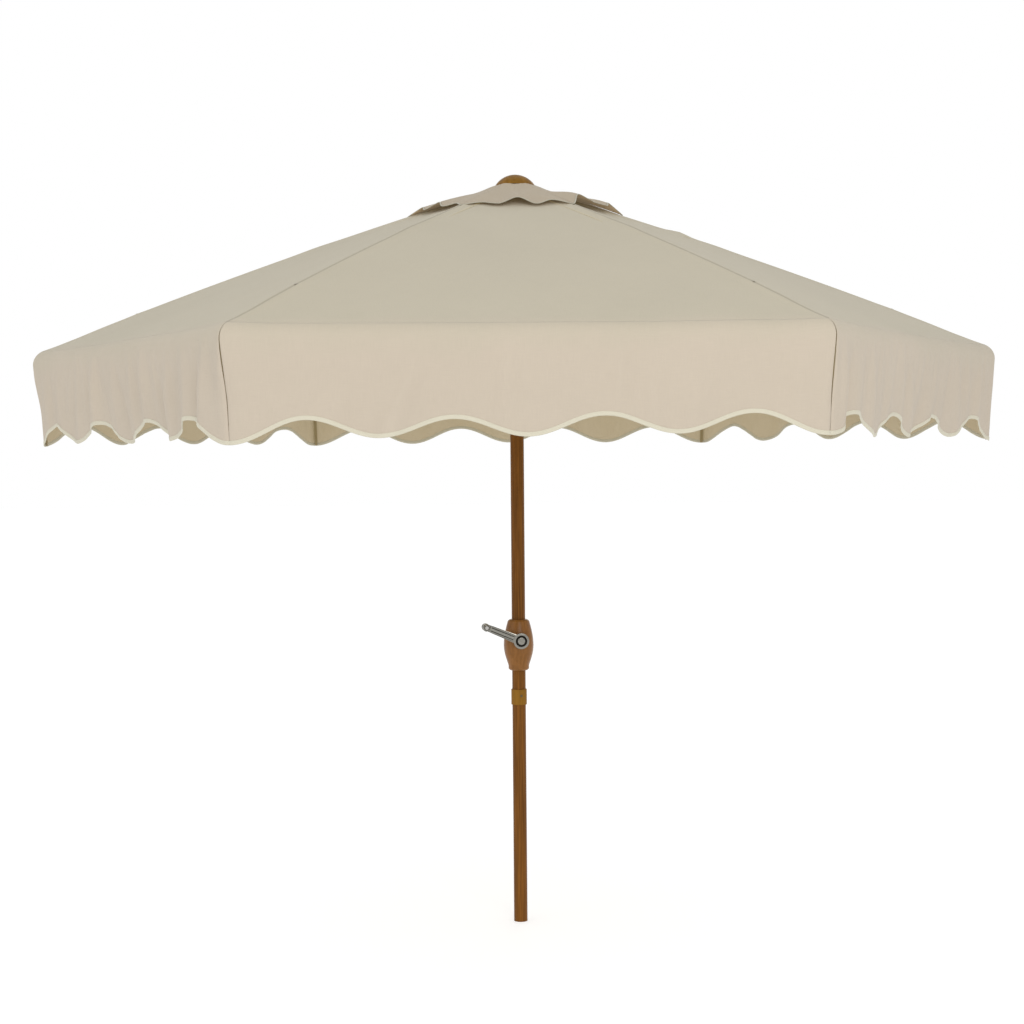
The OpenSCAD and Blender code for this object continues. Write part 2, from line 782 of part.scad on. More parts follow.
// Flat scalloped flap that lies a little above the roof
module vent_panel(k) {
  slope = atan(vent_slope / cos(half_angle));
  start_d = 36 * cos(half_angle);
  fall_len = (vent_r * cos(half_angle) - start_d) / cos(slope);
  half = vent_r * sin(half_angle);
  steps = 10 * vent_scallops;
  edge = [for (i = [0:steps]) let (u = i / steps)
    [half - 2 * half * u, -fall_len + scallop(u, vent_scallops, vent_scallop_depth)]];
  color(beige) at_panel(k) intersection() {
    translate([start_d, 0, apex_z + vent_rise - vent_slope * 36]) rotate([0, slope, 0])
      rotate([0, 0, -90]) translate([0, 0, -fabric_t]) linear_extrude(height = fabric_t)
        mirror([0, 1]) polygon(concat([[-half, 0], [half, 0]], edge));
    sector(eave_z, apex_z + 100);
  }
}

lower_pole();
foot_plug();
joint_ferrule();
joint_collar();
collar_screw();
upper_pole();
housing_front();
housing_rear();
housing_screws();
axle_bushes();
brake_spring();
crank_lever();
cord_drum();
crank_screw();
knob_pin();
crank_knob();
top_hub();
hub_pins();
cord_pulley();
pulley_pin();
finial();
lift_cord();
runner();
runner_pins();
for (k = [1:6]) {
  rib(k);
  rib_fittings(k);
  stretcher(k);
  roof_panel(k);
  vent_panel(k);
  valance(k);
}
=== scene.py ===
"""A crank-lift garden parasol with a scalloped valance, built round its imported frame."""

import json
import math

import bpy
from mathutils import Matrix, Vector, noise


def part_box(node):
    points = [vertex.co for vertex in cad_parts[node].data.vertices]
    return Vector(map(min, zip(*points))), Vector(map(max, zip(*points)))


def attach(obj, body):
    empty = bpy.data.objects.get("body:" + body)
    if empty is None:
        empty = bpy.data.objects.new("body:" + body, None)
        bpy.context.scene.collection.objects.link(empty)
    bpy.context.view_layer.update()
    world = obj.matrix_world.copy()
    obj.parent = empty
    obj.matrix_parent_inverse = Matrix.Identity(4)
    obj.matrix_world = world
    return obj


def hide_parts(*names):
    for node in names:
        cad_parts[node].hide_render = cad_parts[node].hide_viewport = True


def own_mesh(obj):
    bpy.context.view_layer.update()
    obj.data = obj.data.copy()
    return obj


bl_info = {
    "name": "Garden parasol",
    "version": (1, 0, 0),
    "blender": (4, 5, 0),
    "location": "3D View > Sidebar > Parasol",
    "description": "Cloth, bindings, crank and finishes of a crank-lift garden parasol",
    "category": "Add Mesh",
}

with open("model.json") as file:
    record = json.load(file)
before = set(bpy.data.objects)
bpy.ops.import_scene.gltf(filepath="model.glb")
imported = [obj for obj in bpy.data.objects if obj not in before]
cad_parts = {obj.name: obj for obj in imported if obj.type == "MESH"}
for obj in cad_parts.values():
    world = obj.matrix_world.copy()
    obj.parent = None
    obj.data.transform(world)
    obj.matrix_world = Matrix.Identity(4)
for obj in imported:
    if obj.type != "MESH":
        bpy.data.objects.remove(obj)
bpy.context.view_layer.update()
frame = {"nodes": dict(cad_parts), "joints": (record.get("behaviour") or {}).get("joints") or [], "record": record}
JOINTS = {joint["name"]: joint for joint in frame["joints"]}

# ---- sizes taken from the frame ----
SIDES = 6
SIDE_TURN = math.tau / SIDES
HALF_TURN = SIDE_TURN / 2
FRONT = 5
PLAIN_SIDES = (1, 2, 3)
MM = 0.001

FOLD_LINE = Vector(JOINTS[f"valance_{FRONT}_hang"]["pos_m"])
FOLD_D = FOLD_LINE.xy.length
FOLD_Z = FOLD_LINE.z
EAVE_D = -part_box(f"valance_{FRONT}")[0].y
EAVE_ROUND = EAVE_D - FOLD_D
CANOPY_R = EAVE_D / math.cos(HALF_TURN)
HEM_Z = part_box(f"valance_{FRONT}")[0].z
ROOF_INNER_D = -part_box(f"roof_panel_{FRONT}")[1].y
VENT_INNER_D = -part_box(f"vent_panel_{FRONT}")[1].y
VENT_D = -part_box(f"vent_panel_{FRONT}")[0].y

# The ridge: height where the ridges would meet, straight drop and extra bow at a corner
APEX_Z = 2.080
RIDGE_DROP = 0.405
RIDGE_BOW = 0.068
VENT_RISE = 0.006
VENT_SLOPE = 0.28
VALANCE_LEAN = math.radians(3)
SCALLOPS = 4
SCALLOP_DEPTH = 0.054
VENT_SCALLOPS = 3
VENT_SCALLOP_DEPTH = 0.016
STUD_R = 1.060
RIDGE_WIDTH = 0.075
# Where the rib sleeve starts and ends along the rib, and the gap left at each seam
SLEEVE_INNER_R = 0.150
SLEEVE_OUTER_R = 1.304
SEAM_GAP = 0.15 * MM


def ridge_z(r):
    """Height of the roof's top face at a distance r from the axis along a ridge."""
    share = r / CANOPY_R
    return APEX_Z - RIDGE_DROP * share - RIDGE_BOW * share * share


def panel_z(d):
    return ridge_z(d / math.cos(HALF_TURN))


def panel_slope(d):
    """Angle below the horizontal of the roof at a distance d from the axis, up a panel's middle."""
    step = 0.001
    return math.atan((panel_z(d - step) - panel_z(d + step)) / (2 * step))


FOLD_SLOPE = panel_slope(FOLD_D)
ROOF_END_D = FOLD_D + EAVE_ROUND * math.sin(FOLD_SLOPE)
FOLD_START = math.pi / 2 - FOLD_SLOPE
FOLD_LEN = EAVE_ROUND * (FOLD_START + VALANCE_LEAN)
SKIRT_LEN = (FOLD_Z - HEM_Z) / math.cos(VALANCE_LEAN)

# The crank: its hub, the line of its axle, and its arm's two directions
CRANK_JOINT = JOINTS["crank_turn"]
CRANK = Vector(CRANK_JOINT["pos_m"])
AXLE = Vector(CRANK_JOINT["axis"]).normalized()
KNOB = Vector(JOINTS["knob_spin"]["pos_m"])
ARM = (KNOB - CRANK - AXLE * (KNOB - CRANK).dot(AXLE)).normalized()
ARM_SIDE = AXLE.cross(ARM)


def smooth(x):
    """0 below 0, 1 above 1, and an even curve between."""
    x = min(max(x, 0.0), 1.0)
    return x * x * (3 - 2 * x)


def bell(x):
    return math.exp(-x * x)


def scallop(u, count):
    """1 at the top of each arch of a scalloped edge and 0 at its low points; u runs from -1 to 1."""
    return (1 - math.cos(math.pi * count * (u + 1))) / 2


def out_of(side):
    """Unit vectors outwards and along the eave of one side of the canopy."""
    turn = SIDE_TURN * (side - 0.5)
    return Vector((math.cos(turn), math.sin(turn), 0)), Vector((-math.sin(turn), math.cos(turn), 0))


def out_at(rib):
    """Unit vectors outwards along one rib and square to it."""
    turn = SIDE_TURN * (rib - 1)
    return Vector((math.cos(turn), math.sin(turn), 0)), Vector((-math.sin(turn), math.cos(turn), 0))


def next_rib(side):
    """The rib at the far end of a side, which is also the side after it."""
    return side % SIDES + 1


def place(side, d, t, z):
    out, along = out_of(side)
    return out * d + along * t + Vector((0, 0, z))


# ---- settings a user would change ----
class ClothSettings(bpy.types.PropertyGroup):
    """Cloth of the canopy"""

    roof_colour: bpy.props.FloatVectorProperty(
        name="Roof cloth", description="Colour of the roof panels", subtype="COLOR",
        size=3, min=0, max=1, default=(0.470, 0.430, 0.335))
    # The valance tone, lighter and pinker than the roof's, is partly painted light for the brighter light on its
    # steep faces
    valance_colour: bpy.props.FloatVectorProperty(
        name="Valance cloth", description="Colour of the valance", subtype="COLOR",
        size=3, min=0, max=1, default=(0.495, 0.432, 0.350))
    vent_colour: bpy.props.FloatVectorProperty(
        name="Vent cloth", description="Colour of the vent flap", subtype="COLOR",
        size=3, min=0, max=1, default=(0.410, 0.350, 0.262))
    binding_colour: bpy.props.FloatVectorProperty(
        name="Binding", description="Colour of the bias binding", subtype="COLOR",
        size=3, min=0, max=1, default=(0.580, 0.550, 0.440))
    thickness: bpy.props.FloatProperty(
        name="Cloth thickness", description="Thickness of the woven cloth", unit="LENGTH",
        default=0.0008, min=0.0003, max=0.0015)
    binding_width: bpy.props.FloatProperty(
        name="Binding width", description="Width of the binding on the valance", unit="LENGTH",
        default=0.009, min=0.004, max=0.015)
    sag: bpy.props.FloatProperty(
        name="Roof sag", description="Sag of a roof panel between its two ribs", unit="LENGTH",
        default=0.008, min=0, max=0.02)
    glow: bpy.props.FloatProperty(
        name="Light through the cloth", description="Daylight that shows on the shaded face",
        default=0.085, min=0, max=0.5)


class StageSettings(bpy.types.PropertyGroup):
    """Camera and studio light"""

    lens: bpy.props.FloatProperty(
        name="Lens", description="Focal length of the camera", unit="CAMERA",
        default=65.9, min=20, max=200)
    camera_place: bpy.props.FloatVectorProperty(
        name="Camera", description="Where the camera stands", subtype="TRANSLATION",
        size=3, default=(-0.125, -5.275, 1.335))
    camera_turn: bpy.props.FloatVectorProperty(
        name="Camera angles", description="Pitch down, roll and yaw of the camera", subtype="EULER",
        size=3, default=(0.0333, -0.0081, 0.0207))
    fill: bpy.props.FloatProperty(
        name="Surrounding light", description="Strength of the light from the white surroundings",
        default=0.86, min=0, max=3)
    key: bpy.props.FloatProperty(
        name="Key light", description="Power of the soft light at the front right", unit="POWER",
        default=118, min=0, max=1000)


# ---- shader expressions ----
class Wire:
    """An output socket in an expression: each sum or product adds its Math node."""

    def __init__(self, tree, socket):
        self.tree = tree
        self.socket = socket

    def math(self, operation, *values):
        node = self.tree.nodes.new("ShaderNodeMath")
        node.operation = operation
        for place_in, value in zip(node.inputs, values):
            if isinstance(value, Wire):
                self.tree.links.new(value.socket, place_in)
            else:
                place_in.default_value = value
        return Wire(self.tree, node.outputs[0])

    def __add__(self, other):
        return self.math("ADD", self, other)

    __radd__ = __add__

    def __sub__(self, other):
        return self.math("SUBTRACT", self, other)

    def __rsub__(self, other):
        return self.math("SUBTRACT", other, self)

    def __mul__(self, other):
        return self.math("MULTIPLY", self, other)

    __rmul__ = __mul__

    def __truediv__(self, other):
        return self.math("DIVIDE", self, other)

    def __pow__(self, other):
        return self.math("POWER", self, other)

    def sine(self):
        return self.math("SINE", self)

    def size(self):
        return self.math("ABSOLUTE", self)

    def above(self, edge):
        return self.math("GREATER_THAN", self, edge)

    def below(self, edge):
        return self.math("LESS_THAN", self, edge)

    def clamped(self):
        return self.math("MINIMUM", self.math("MAXIMUM", self, 0.0), 1.0)


class Finish:
    """A material with one Principled shader, built from node expressions."""

    def __init__(self, name, **constants):
        self.material = bpy.data.materials.new(name)
        self.material.use_nodes = True
        self.tree = self.material.node_tree
        self.tree.nodes.clear()
        self.shader = self.tree.nodes.new("ShaderNodeBsdfPrincipled")
        output = self.tree.nodes.new("ShaderNodeOutputMaterial")
        self.tree.links.new(self.shader.outputs[0], output.inputs[0])
        for socket, value in constants.items():
            self.shader.inputs[socket.replace("_", " ")].default_value = value

    def node(self, kind, values=(), output=0, **settings):
        """Adds a node with its settings and its sockets' values or links, and gives one output."""
        node = self.tree.nodes.new(kind)
        for key, value in settings.items():
            setattr(node, key, value)
        for key, value in dict(values).items():
            if isinstance(value, Wire):
                self.tree.links.new(value.socket, node.inputs[key])
            else:
                node.inputs[key].default_value = value
        return Wire(self.tree, node.outputs[output])

    def to_shader(self, **wires):
        for socket, wire in wires.items():
            self.tree.links.new(wire.socket, self.shader.inputs[socket.replace("_", " ")])
        return self.material

    def object_axes(self):
        place_wire = self.node("ShaderNodeTexCoord", output="Object")
        return self.axes(place_wire)

    def cloth_axes(self):
        return self.axes(self.node("ShaderNodeUVMap", uv_map="UVMap"))

    def axes(self, vector):
        split = self.tree.nodes.new("ShaderNodeSeparateXYZ")
        self.tree.links.new(vector.socket, split.inputs[0])
        return [Wire(self.tree, out) for out in split.outputs]

    def vector(self, x, y, z):
        return self.node("ShaderNodeCombineXYZ", {0: x, 1: y, 2: z})

    def noise(self, vector, scale, detail=3.0, roughness=0.55):
        return self.node("ShaderNodeTexNoise",
                         {"Vector": vector, "Scale": scale, "Detail": detail, "Roughness": roughness})

    def mix(self, factor, first, second):
        return self.node("ShaderNodeMix", {0: factor, 6: first, 7: second}, output=2, data_type="RGBA")

    def bump(self, height, distance, strength=1.0, normal=None):
        values = {"Strength": strength, "Distance": distance, "Height": height}
        if normal:
            values["Normal"] = normal
        return self.node("ShaderNodeBump", values)


def opaque(colour, brightness=1.0):
    return (*(min(channel * brightness, 1.0) for channel in colour), 1.0)


def cloth_finish(name, colour, hem_colour, crumple=0.6, glow=0.0, daylight=(1.0, 0.78, 0.22, 1.0), seam=0.0):
    """Plain weave with slubs, faint mottling and soft crumples; its tone shifts below the eave.

    glow is the daylight that comes through to the shaded face, and seam is the strength of the painted shade
    beside the seams, where the cloth turns under."""
    finish = Finish(name, Roughness=0.9, Specular_IOR_Level=0.2, Sheen_Weight=0.1, Sheen_Roughness=0.5,
                    Emission_Color=daylight, Emission_Strength=glow)
    u, v, _ = finish.cloth_axes()
    thread = math.tau / (1.4 * MM)
    weave = (u * thread).sine() * (v * thread).sine()
    warp_slub = finish.noise(finish.vector(u * 900, v * 26, 0.0), 1.0, 2.0)
    weft_slub = finish.noise(finish.vector(u * 26, v * 900, 4.0), 1.0, 2.0)
    cloud = finish.noise(finish.vector(u, v, 0.0), 3.2, 4.0, 0.6)
    fold = finish.noise(finish.vector(u * 1.6, v * 0.7, 2.0), 9.0, 5.0, 0.5)
    tone = (warp_slub + weft_slub) * 0.5 + (cloud - 0.5) * 0.5 + weave * 0.06
    shade = ((tone - 0.3) * 2.2).clamped()
    # The shift below the eave to the lighter, pinker valance tone is partly painted light for the brighter light
    # on the steep valance, with random mottling where it changes
    below = ((cloud - 0.5) * 1.2 + v * 8 + 0.35).clamped()
    plain = finish.mix(shade, opaque(colour, 0.96), opaque(colour, 1.04))
    warm = finish.mix(shade, opaque(hem_colour, 0.96), opaque(hem_colour, 1.04))
    shown = finish.mix(below, plain, warm)
    # Painted shade: a darker band beside each seam, for the shade where the cloth turns under
    if seam:
        edge = finish.axes(finish.node("ShaderNodeUVMap", uv_map="SeamMap"))[0]
        beside = (1.0 - (edge - 2.5 * MM).size() / (4.5 * MM)).clamped() * (cloud * 0.6 + 0.7)
        shown = finish.mix((beside * seam).clamped(), shown, opaque(colour, 0.35))
    creased = finish.bump(fold, 5 * MM, crumple)
    woven = finish.bump(weave * 0.6 + (warp_slub + weft_slub) * 0.8, 0.25 * MM, 0.5, creased)
    return finish.to_shader(Base_Color=shown, Normal=woven)


def binding_finish(name, colour):
    """Bias binding with a line of stitches along its inner edge."""
    finish = Finish(name, Roughness=0.82, Specular_IOR_Level=0.25, Sheen_Weight=0.15)
    u, v, _ = finish.cloth_axes()
    rib = (((u + v) * (math.tau / (1.1 * MM))).sine() + 1) * 0.5
    on_line = (0.6 * MM - (v - 6.2 * MM).size()).above(0.0)
    stitch = ((u * (math.tau / (3.2 * MM))).sine()).above(-0.2) * on_line
    shade = finish.mix((rib * 0.35 + stitch * 0.5).clamped(), opaque(colour, 0.95), opaque(colour, 1.06))
    raised = finish.bump(rib * 0.4 + stitch, 0.3 * MM, 0.6)
    return finish.to_shader(Base_Color=shade, Normal=raised)


def wood_look_finish(name, dark, light, roughness=0.42, grain=260.0, coat=0.0, shine=0.12):
    """Printed wood grain that runs up the piece, under a thin lacquer."""
    finish = Finish(name, Specular_IOR_Level=shine, Coat_Roughness=0.3, Coat_Weight=coat)
    x, y, z = finish.object_axes()
    wander = finish.noise(finish.vector(x * 10, y * 10, z * 1.6), 1.0, 2.0)
    streak = finish.noise(finish.vector(x * grain + wander * 3, y * grain + wander * 3, z * 5), 1.0, 4.0, 0.6)
    fine = finish.noise(finish.vector(x * grain * 4, y * grain * 4, z * 14), 1.0, 2.0)
    figure = ((streak - 0.32) * 2.2 + (fine - 0.5) * 0.5 + (wander - 0.5) * 0.6).clamped()
    shade = finish.mix(figure, opaque(dark), opaque(light))
    rough = (fine * 0.12 + (roughness - 0.05)).clamped()
    pores = finish.bump(streak * 0.6 + fine * 0.4, 0.15 * MM, 0.35)
    return finish.to_shader(Base_Color=shade, Roughness=rough, Normal=pores)


def metal_finish(name, colour, roughness, metallic=1.0, scratch=0.3, shade_mask=None):
    """Metal or lacquered metal with fine handling marks, and near-black painted shade where the given mask says.
    """
    finish = Finish(name, Metallic=metallic, Specular_IOR_Level=0.5)
    x, y, z = finish.object_axes()
    patch = finish.noise(finish.vector(x, y, z), 90.0, 3.0)
    mark = finish.noise(finish.vector(x * 1500, y * 1500, z * 140), 1.0, 2.0)
    shade = finish.mix(patch, opaque(colour, 0.9), opaque(colour, 1.08))
    rough = ((patch - 0.5) * 0.14 + (mark - 0.5) * 0.1 + roughness).clamped()
    # Painted shade: near-black where the mask is 1, for the shade in recesses and grooves; roughness rises there
    # too
    if shade_mask:
        recess_shade = shade_mask(x, y, z)
        shade = finish.mix(recess_shade, shade, opaque((0.018, 0.016, 0.013)))
        rough = (rough + recess_shade * 0.35).clamped()
    marked = finish.bump(mark, 0.04 * MM, scratch)
    return finish.to_shader(Base_Color=shade, Roughness=rough, Normal=marked)


def crank_recess_shade(x, y, z):
    """Painted shade: 1 in the recess round the crank's screw and in the long grooves of its arm."""
    along = x * ARM.x + y * ARM.y + (z - CRANK.z) * ARM.z
    across = x * ARM_SIDE.x + y * ARM_SIDE.y + (z - CRANK.z) * ARM_SIDE.z
    r = (along * along + across * across) ** 0.5
    ring = (r - 13.2 * MM).size().below(2.9 * MM)
    wide_groove = (across.size() - 4.5 * MM).size().below(1.5 * MM)
    narrow_groove = (across.size() - 9.2 * MM).size().below(0.7 * MM)
    groove = wide_groove + narrow_groove
    on_arm = along.above(23 * MM) * along.below(92 * MM)
    joint = (along - 96 * MM).size().below(1.2 * MM)
    return (ring + groove * on_arm * 0.8 + joint * 0.7).clamped()


def knob_recess_shade(x, y, z):
    """Painted shade: 1 in a ring on the knob's end, where the pin's head sits."""
    along = (x - KNOB.x) * ARM.x + (y - KNOB.y) * ARM.y + (z - KNOB.z) * ARM.z
    across = (x - KNOB.x) * ARM_SIDE.x + (y - KNOB.y) * ARM_SIDE.y + (z - KNOB.z) * ARM_SIDE.z
    r = (along * along + across * across) ** 0.5
    return (r - 6.4 * MM).size().below(1.0 * MM) * 0.8


def plastic_finish(name, colour, roughness=0.5):
    """Moulded plastic with a fine spark-eroded grain."""
    finish = Finish(name, Specular_IOR_Level=0.5)
    x, y, z = finish.object_axes()
    place_wire = finish.vector(x, y, z)
    pebble = finish.noise(place_wire, 1400.0, 2.0)
    patch = finish.noise(place_wire, 40.0, 3.0)
    shade = finish.mix(patch, opaque(colour, 0.85), opaque(colour, 1.15))
    rough = ((patch - 0.5) * 0.2 + roughness).clamped()
    grained = finish.bump(pebble, 0.08 * MM, 0.4)
    return finish.to_shader(Base_Color=shade, Roughness=rough, Normal=grained)


def braid_finish(name, colour):
    """Braided cord: strands that cross each other round it; u runs along it and v once round it."""
    finish = Finish(name, Roughness=0.85, Sheen_Weight=0.2)
    u, v, _ = finish.cloth_axes()
    pitch = math.tau / (4.0 * MM)
    turns = math.tau * 4
    strand = (u * pitch + v * turns).sine() * (u * pitch - v * turns).sine()
    shade = finish.mix((strand * 0.5 + 0.5).clamped(), opaque(colour, 0.75), opaque(colour, 1.1))
    return finish.to_shader(Base_Color=shade, Normal=finish.bump(strand, 0.4 * MM, 0.7))


# ---- mesh helpers ----
def deselect():
    if bpy.context.mode != "OBJECT":
        bpy.ops.object.mode_set(mode="OBJECT")
    bpy.ops.object.select_all(action="DESELECT")


def use(piece):
    """Makes a piece the only selected and the active one."""
    deselect()
    piece.select_set(True)
    bpy.context.view_layer.objects.active = piece


def apply_modifiers(piece):
    use(piece)
    for modifier in list(piece.modifiers):
        bpy.ops.object.modifier_apply(modifier=modifier.name)


def merge_mesh(piece, threshold):
    """Merges a mesh's doubled points and leaves it selected in edit mode."""
    use(piece)
    bpy.ops.object.mode_set(mode="EDIT")
    bpy.ops.mesh.select_all(action="SELECT")
    bpy.ops.mesh.remove_doubles(threshold=threshold)


def face_outwards():
    """Turns the selected faces outwards and goes back to object mode."""
    bpy.ops.mesh.normals_make_consistent(inside=False)
    bpy.ops.object.mode_set(mode="OBJECT")


def grid_sheet(name, rows, uv_rows, seam_rows=None):
    """A sheet through rows of points that run down the cloth, with its own cloth coordinates.

    seam_rows are each point's distance from the nearest seam."""
    across = len(rows[0])
    mesh = bpy.data.meshes.new(name)
    faces = [
        (i * across + j, (i + 1) * across + j, (i + 1) * across + j + 1, i * across + j + 1)
        for i in range(len(rows) - 1)
        for j in range(across - 1)
    ]
    mesh.from_pydata([point for row in rows for point in row], [], faces)
    flat = [uv for row in uv_rows for uv in row]
    layer = mesh.uv_layers.new(name="UVMap")
    for loop in mesh.loops:
        layer.data[loop.index].uv = flat[loop.vertex_index]
    if seam_rows:
        edges = [edge for row in seam_rows for edge in row]
        seam_layer = mesh.uv_layers.new(name="SeamMap")
        for loop in mesh.loops:
            seam_layer.data[loop.index].uv = (edges[loop.vertex_index], 0.5)
    mesh.polygons.foreach_set("use_smooth", [True] * len(mesh.polygons))
    piece = bpy.data.objects.new(name, mesh)
    bpy.context.scene.collection.objects.link(piece)
    return piece


def thicken(piece, thickness, inside=None):
    """Gives a sheet its thickness, and its inner face a finish of its own."""
    solid = piece.modifiers.new("Thickness", "SOLIDIFY")
    solid.thickness = thickness
    solid.offset = -1.0
    if inside:
        piece.data.materials.append(inside)
        solid.material_offset = 1
    apply_modifiers(piece)


def finish_piece(piece, material):
    piece.data.materials.clear()
    piece.data.materials.append(material)
    return piece


def fold_with_canopy(piece, body, side):
    """Rides on a body, with a mesh of its own."""
    _, along = out_of(side)
    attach(piece, body)
    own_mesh(piece)


# ---- the roof's shape ----
def ridge_lift(rib, r):
    """How far the cloth stands off the true ridge line of one rib, at a distance r from the axis."""
    near_tip = -0.0015 * bell((r - 1.235) / 0.055) + 0.003 * bell((r - 1.325) / 0.03)
    stud = 0.0008 * bell((r - STUD_R) / 0.02)
    bracket = 0.0015 * bell((r - 0.56) / 0.05)
    pucker = 0.006 * bell((r - 0.462) / 0.028) if rib == 1 else 0.0
    return near_tip + bracket + pucker + stud


def stand_off(side, u, d, sag):
    """Height of the cloth over the plain roof: sag between the ribs, and the ridges' own shape."""
    half = d * math.tan(HALF_TURN)
    run = (d - ROOF_INNER_D) / (ROOF_END_D - ROOF_INNER_D)
    r = d / math.cos(HALF_TURN)
    middle = 1 - u * u
    dip = -sag * middle * (0.35 + 0.65 * math.sin(math.pi * min(max(run, 0), 1) ** 0.8))
    ridges = sum(
        ridge_lift(rib, r) * bell((1 - edge * u) * half / RIDGE_WIDTH)
        for rib, edge in ((side, -1), (next_rib(side), 1))
    )
    pull = noise.noise(Vector((u * 2.2 + side * 7, r * 3.1, side)))
    tension = 0.0022 * pull * smooth(middle * 3) * smooth(run * 3)
    return dip + ridges + tension


def seam_turn(u, half, depth=0.0014, reach=0.0022, allowance=0.0):
    """Drop of the cloth right beside a seam, where it turns under, and the raised allowance next to it."""
    edge = (1 - abs(u)) * half
    return allowance * bell((edge - 0.009) / 0.006) - depth * bell(edge / reach)


def across_side(count, half):
    """Shares of a side's half width from -1 to 1, with close columns beside the two seams."""
    edges = (0.0, 0.0015, 0.003, 0.005, 0.008, 0.012, 0.016, 0.022, 0.030, 0.040)
    close = [1 - edge / half for edge in edges]
    inner = 1 - 0.052 / half
    even = [inner * (2 * j / count - 1) for j in range(count + 1)]
    return [-u for u in close] + even + close[::-1]


def roof_rows(side, sag):
    """Points from the upper edge of a roof panel to the eave, and on under the valance's fold."""
    across = across_side(56, CANOPY_R / 2)
    steps = 64
    rows, uvs, seams = [], [], []
    for i in range(steps + 1):
        d = ROOF_INNER_D + (ROOF_END_D - ROOF_INNER_D) * i / steps
        half = d * math.tan(HALF_TURN) - SEAM_GAP
        slope = panel_slope(d)
        allowance = 0.0024 * smooth((ROOF_END_D - d) / 0.06)
        lift = [stand_off(side, u, d, sag) + seam_turn(u, half, 0.0016, 0.003, allowance) for u in across]
        rows.append([
            place(side, d + rise * math.sin(slope), u * half, panel_z(d) + rise * math.cos(slope))
            for u, rise in zip(across, lift)
        ])
        down = (d - ROOF_END_D) / math.cos(slope)
        uvs.append([(u * half + side, down) for u in across])
        seams.append([(1 - abs(u)) * half for u in across])
    under = EAVE_ROUND - 1.2 * MM
    for i in range(1, 7):
        turn = FOLD_START - math.radians(9) * i
        d = FOLD_D + under * math.cos(turn)
        half = d * math.tan(HALF_TURN) - 1.5 * MM
        lift = [stand_off(side, u, ROOF_END_D, sag) for u in across]
        rows.append([
            place(side, d + rise * math.cos(turn), u * half, FOLD_Z + (under + rise) * math.sin(turn))
            for u, rise in zip(across, lift)
        ])
        uvs.append([(u * half + side, EAVE_ROUND * math.radians(9) * i) for u in across])
        seams.append([(1 - abs(u)) * half for u in across])
    return rows, uvs, seams


# ---- the valance's shape ----
# Cone folds of each side: place along the eave, slant, distance below the eave where the fold
# starts, width there, and depth
QUIET_FOLDS = (
    (-0.470, 0.10, 0.05, 0.020, 0.007),
    (-0.210, -0.15, 0.03, 0.014, 0.008),
    (0.060, 0.10, 0.05, 0.018, 0.007),
    (0.290, -0.10, 0.02, 0.014, 0.009),
    (0.510, 0.12, 0.04, 0.020, 0.007),
)
FOLDS = {
    **dict.fromkeys(PLAIN_SIDES, QUIET_FOLDS),
    4: (
        (-0.590, 0.10, 0.04, 0.014, 0.007),
        (-0.475, 0.15, 0.05, 0.018, 0.009),
        (-0.330, -0.20, 0.06, 0.012, -0.008),
        (-0.182, -0.05, 0.02, 0.014, 0.018),
        (-0.030, 0.20, 0.03, 0.012, -0.010),
        (0.090, -0.12, 0.03, 0.012, 0.009),
        (0.176, -0.10, 0.01, 0.011, 0.014),
        (0.262, 0.10, 0.04, 0.010, -0.010),
        (0.338, -0.05, 0.03, 0.010, 0.012),
        (0.440, 0.15, 0.01, 0.013, 0.012),
        (0.515, 0.05, 0.05, 0.008, -0.008),
        (0.586, -0.15, 0.01, 0.014, 0.012),
    ),
    5: (
        (-0.050, 0.02, 0.03, 0.010, 0.0035),
        (0.205, -0.03, 0.02, 0.009, 0.0032),
        (0.262, 0.12, 0.09, 0.012, 0.0034),
        (-0.235, -0.35, 0.06, 0.012, 0.0042),
        (-0.290, -0.20, 0.13, 0.020, 0.0036),
        (-0.390, -0.30, 0.08, 0.016, 0.0034),
        (-0.500, 0.10, 0.10, 0.030, 0.0030),
        (0.370, -0.10, 0.12, 0.018, 0.0030),
        (0.480, 0.25, 0.08, 0.022, 0.0032),
        (0.600, -0.05, 0.04, 0.012, 0.0030),
    ),
    6: (
        (-0.615, 0.02, 0.02, 0.012, 0.014),
        (-0.545, -0.05, 0.03, 0.012, -0.008),
        (-0.487, 0.05, 0.03, 0.012, 0.008),
        (-0.404, 0.10, 0.02, 0.011, 0.009),
        (-0.300, 0.20, 0.05, 0.012, -0.009),
        (-0.190, 0.35, 0.01, 0.011, 0.010),
        (-0.100, 0.45, 0.06, 0.011, 0.009),
        (0.030, 0.10, 0.03, 0.010, -0.009),
        (0.136, -0.10, 0.04, 0.012, 0.010),
        (0.240, 0.15, 0.02, 0.011, -0.008),
        (0.297, 0.35, 0.02, 0.012, 0.009),
        (0.412, 0.15, 0.02, 0.013, 0.011),
        (0.544, -0.10, 0.03, 0.012, 0.012),
    ),
}
# How far the hem hangs in or out of a straight line, at even places along each side
QUIET_HEM = (0.0, -0.008, -0.004, -0.018, -0.012, -0.020, -0.006, -0.010, 0.0)
HEM_LINE = {
    **dict.fromkeys(PLAIN_SIDES, QUIET_HEM),
    4: (0.0, 0.004, 0.004, -0.016, -0.022, -0.026, -0.014, 0.014, 0.0),
    5: (0.0, -0.008, -0.002, -0.014, -0.006, -0.014, -0.004, -0.010, 0.0),
    6: (0.0, -0.016, -0.014, -0.034, -0.034, -0.036, -0.022, -0.010, 0.002),
}
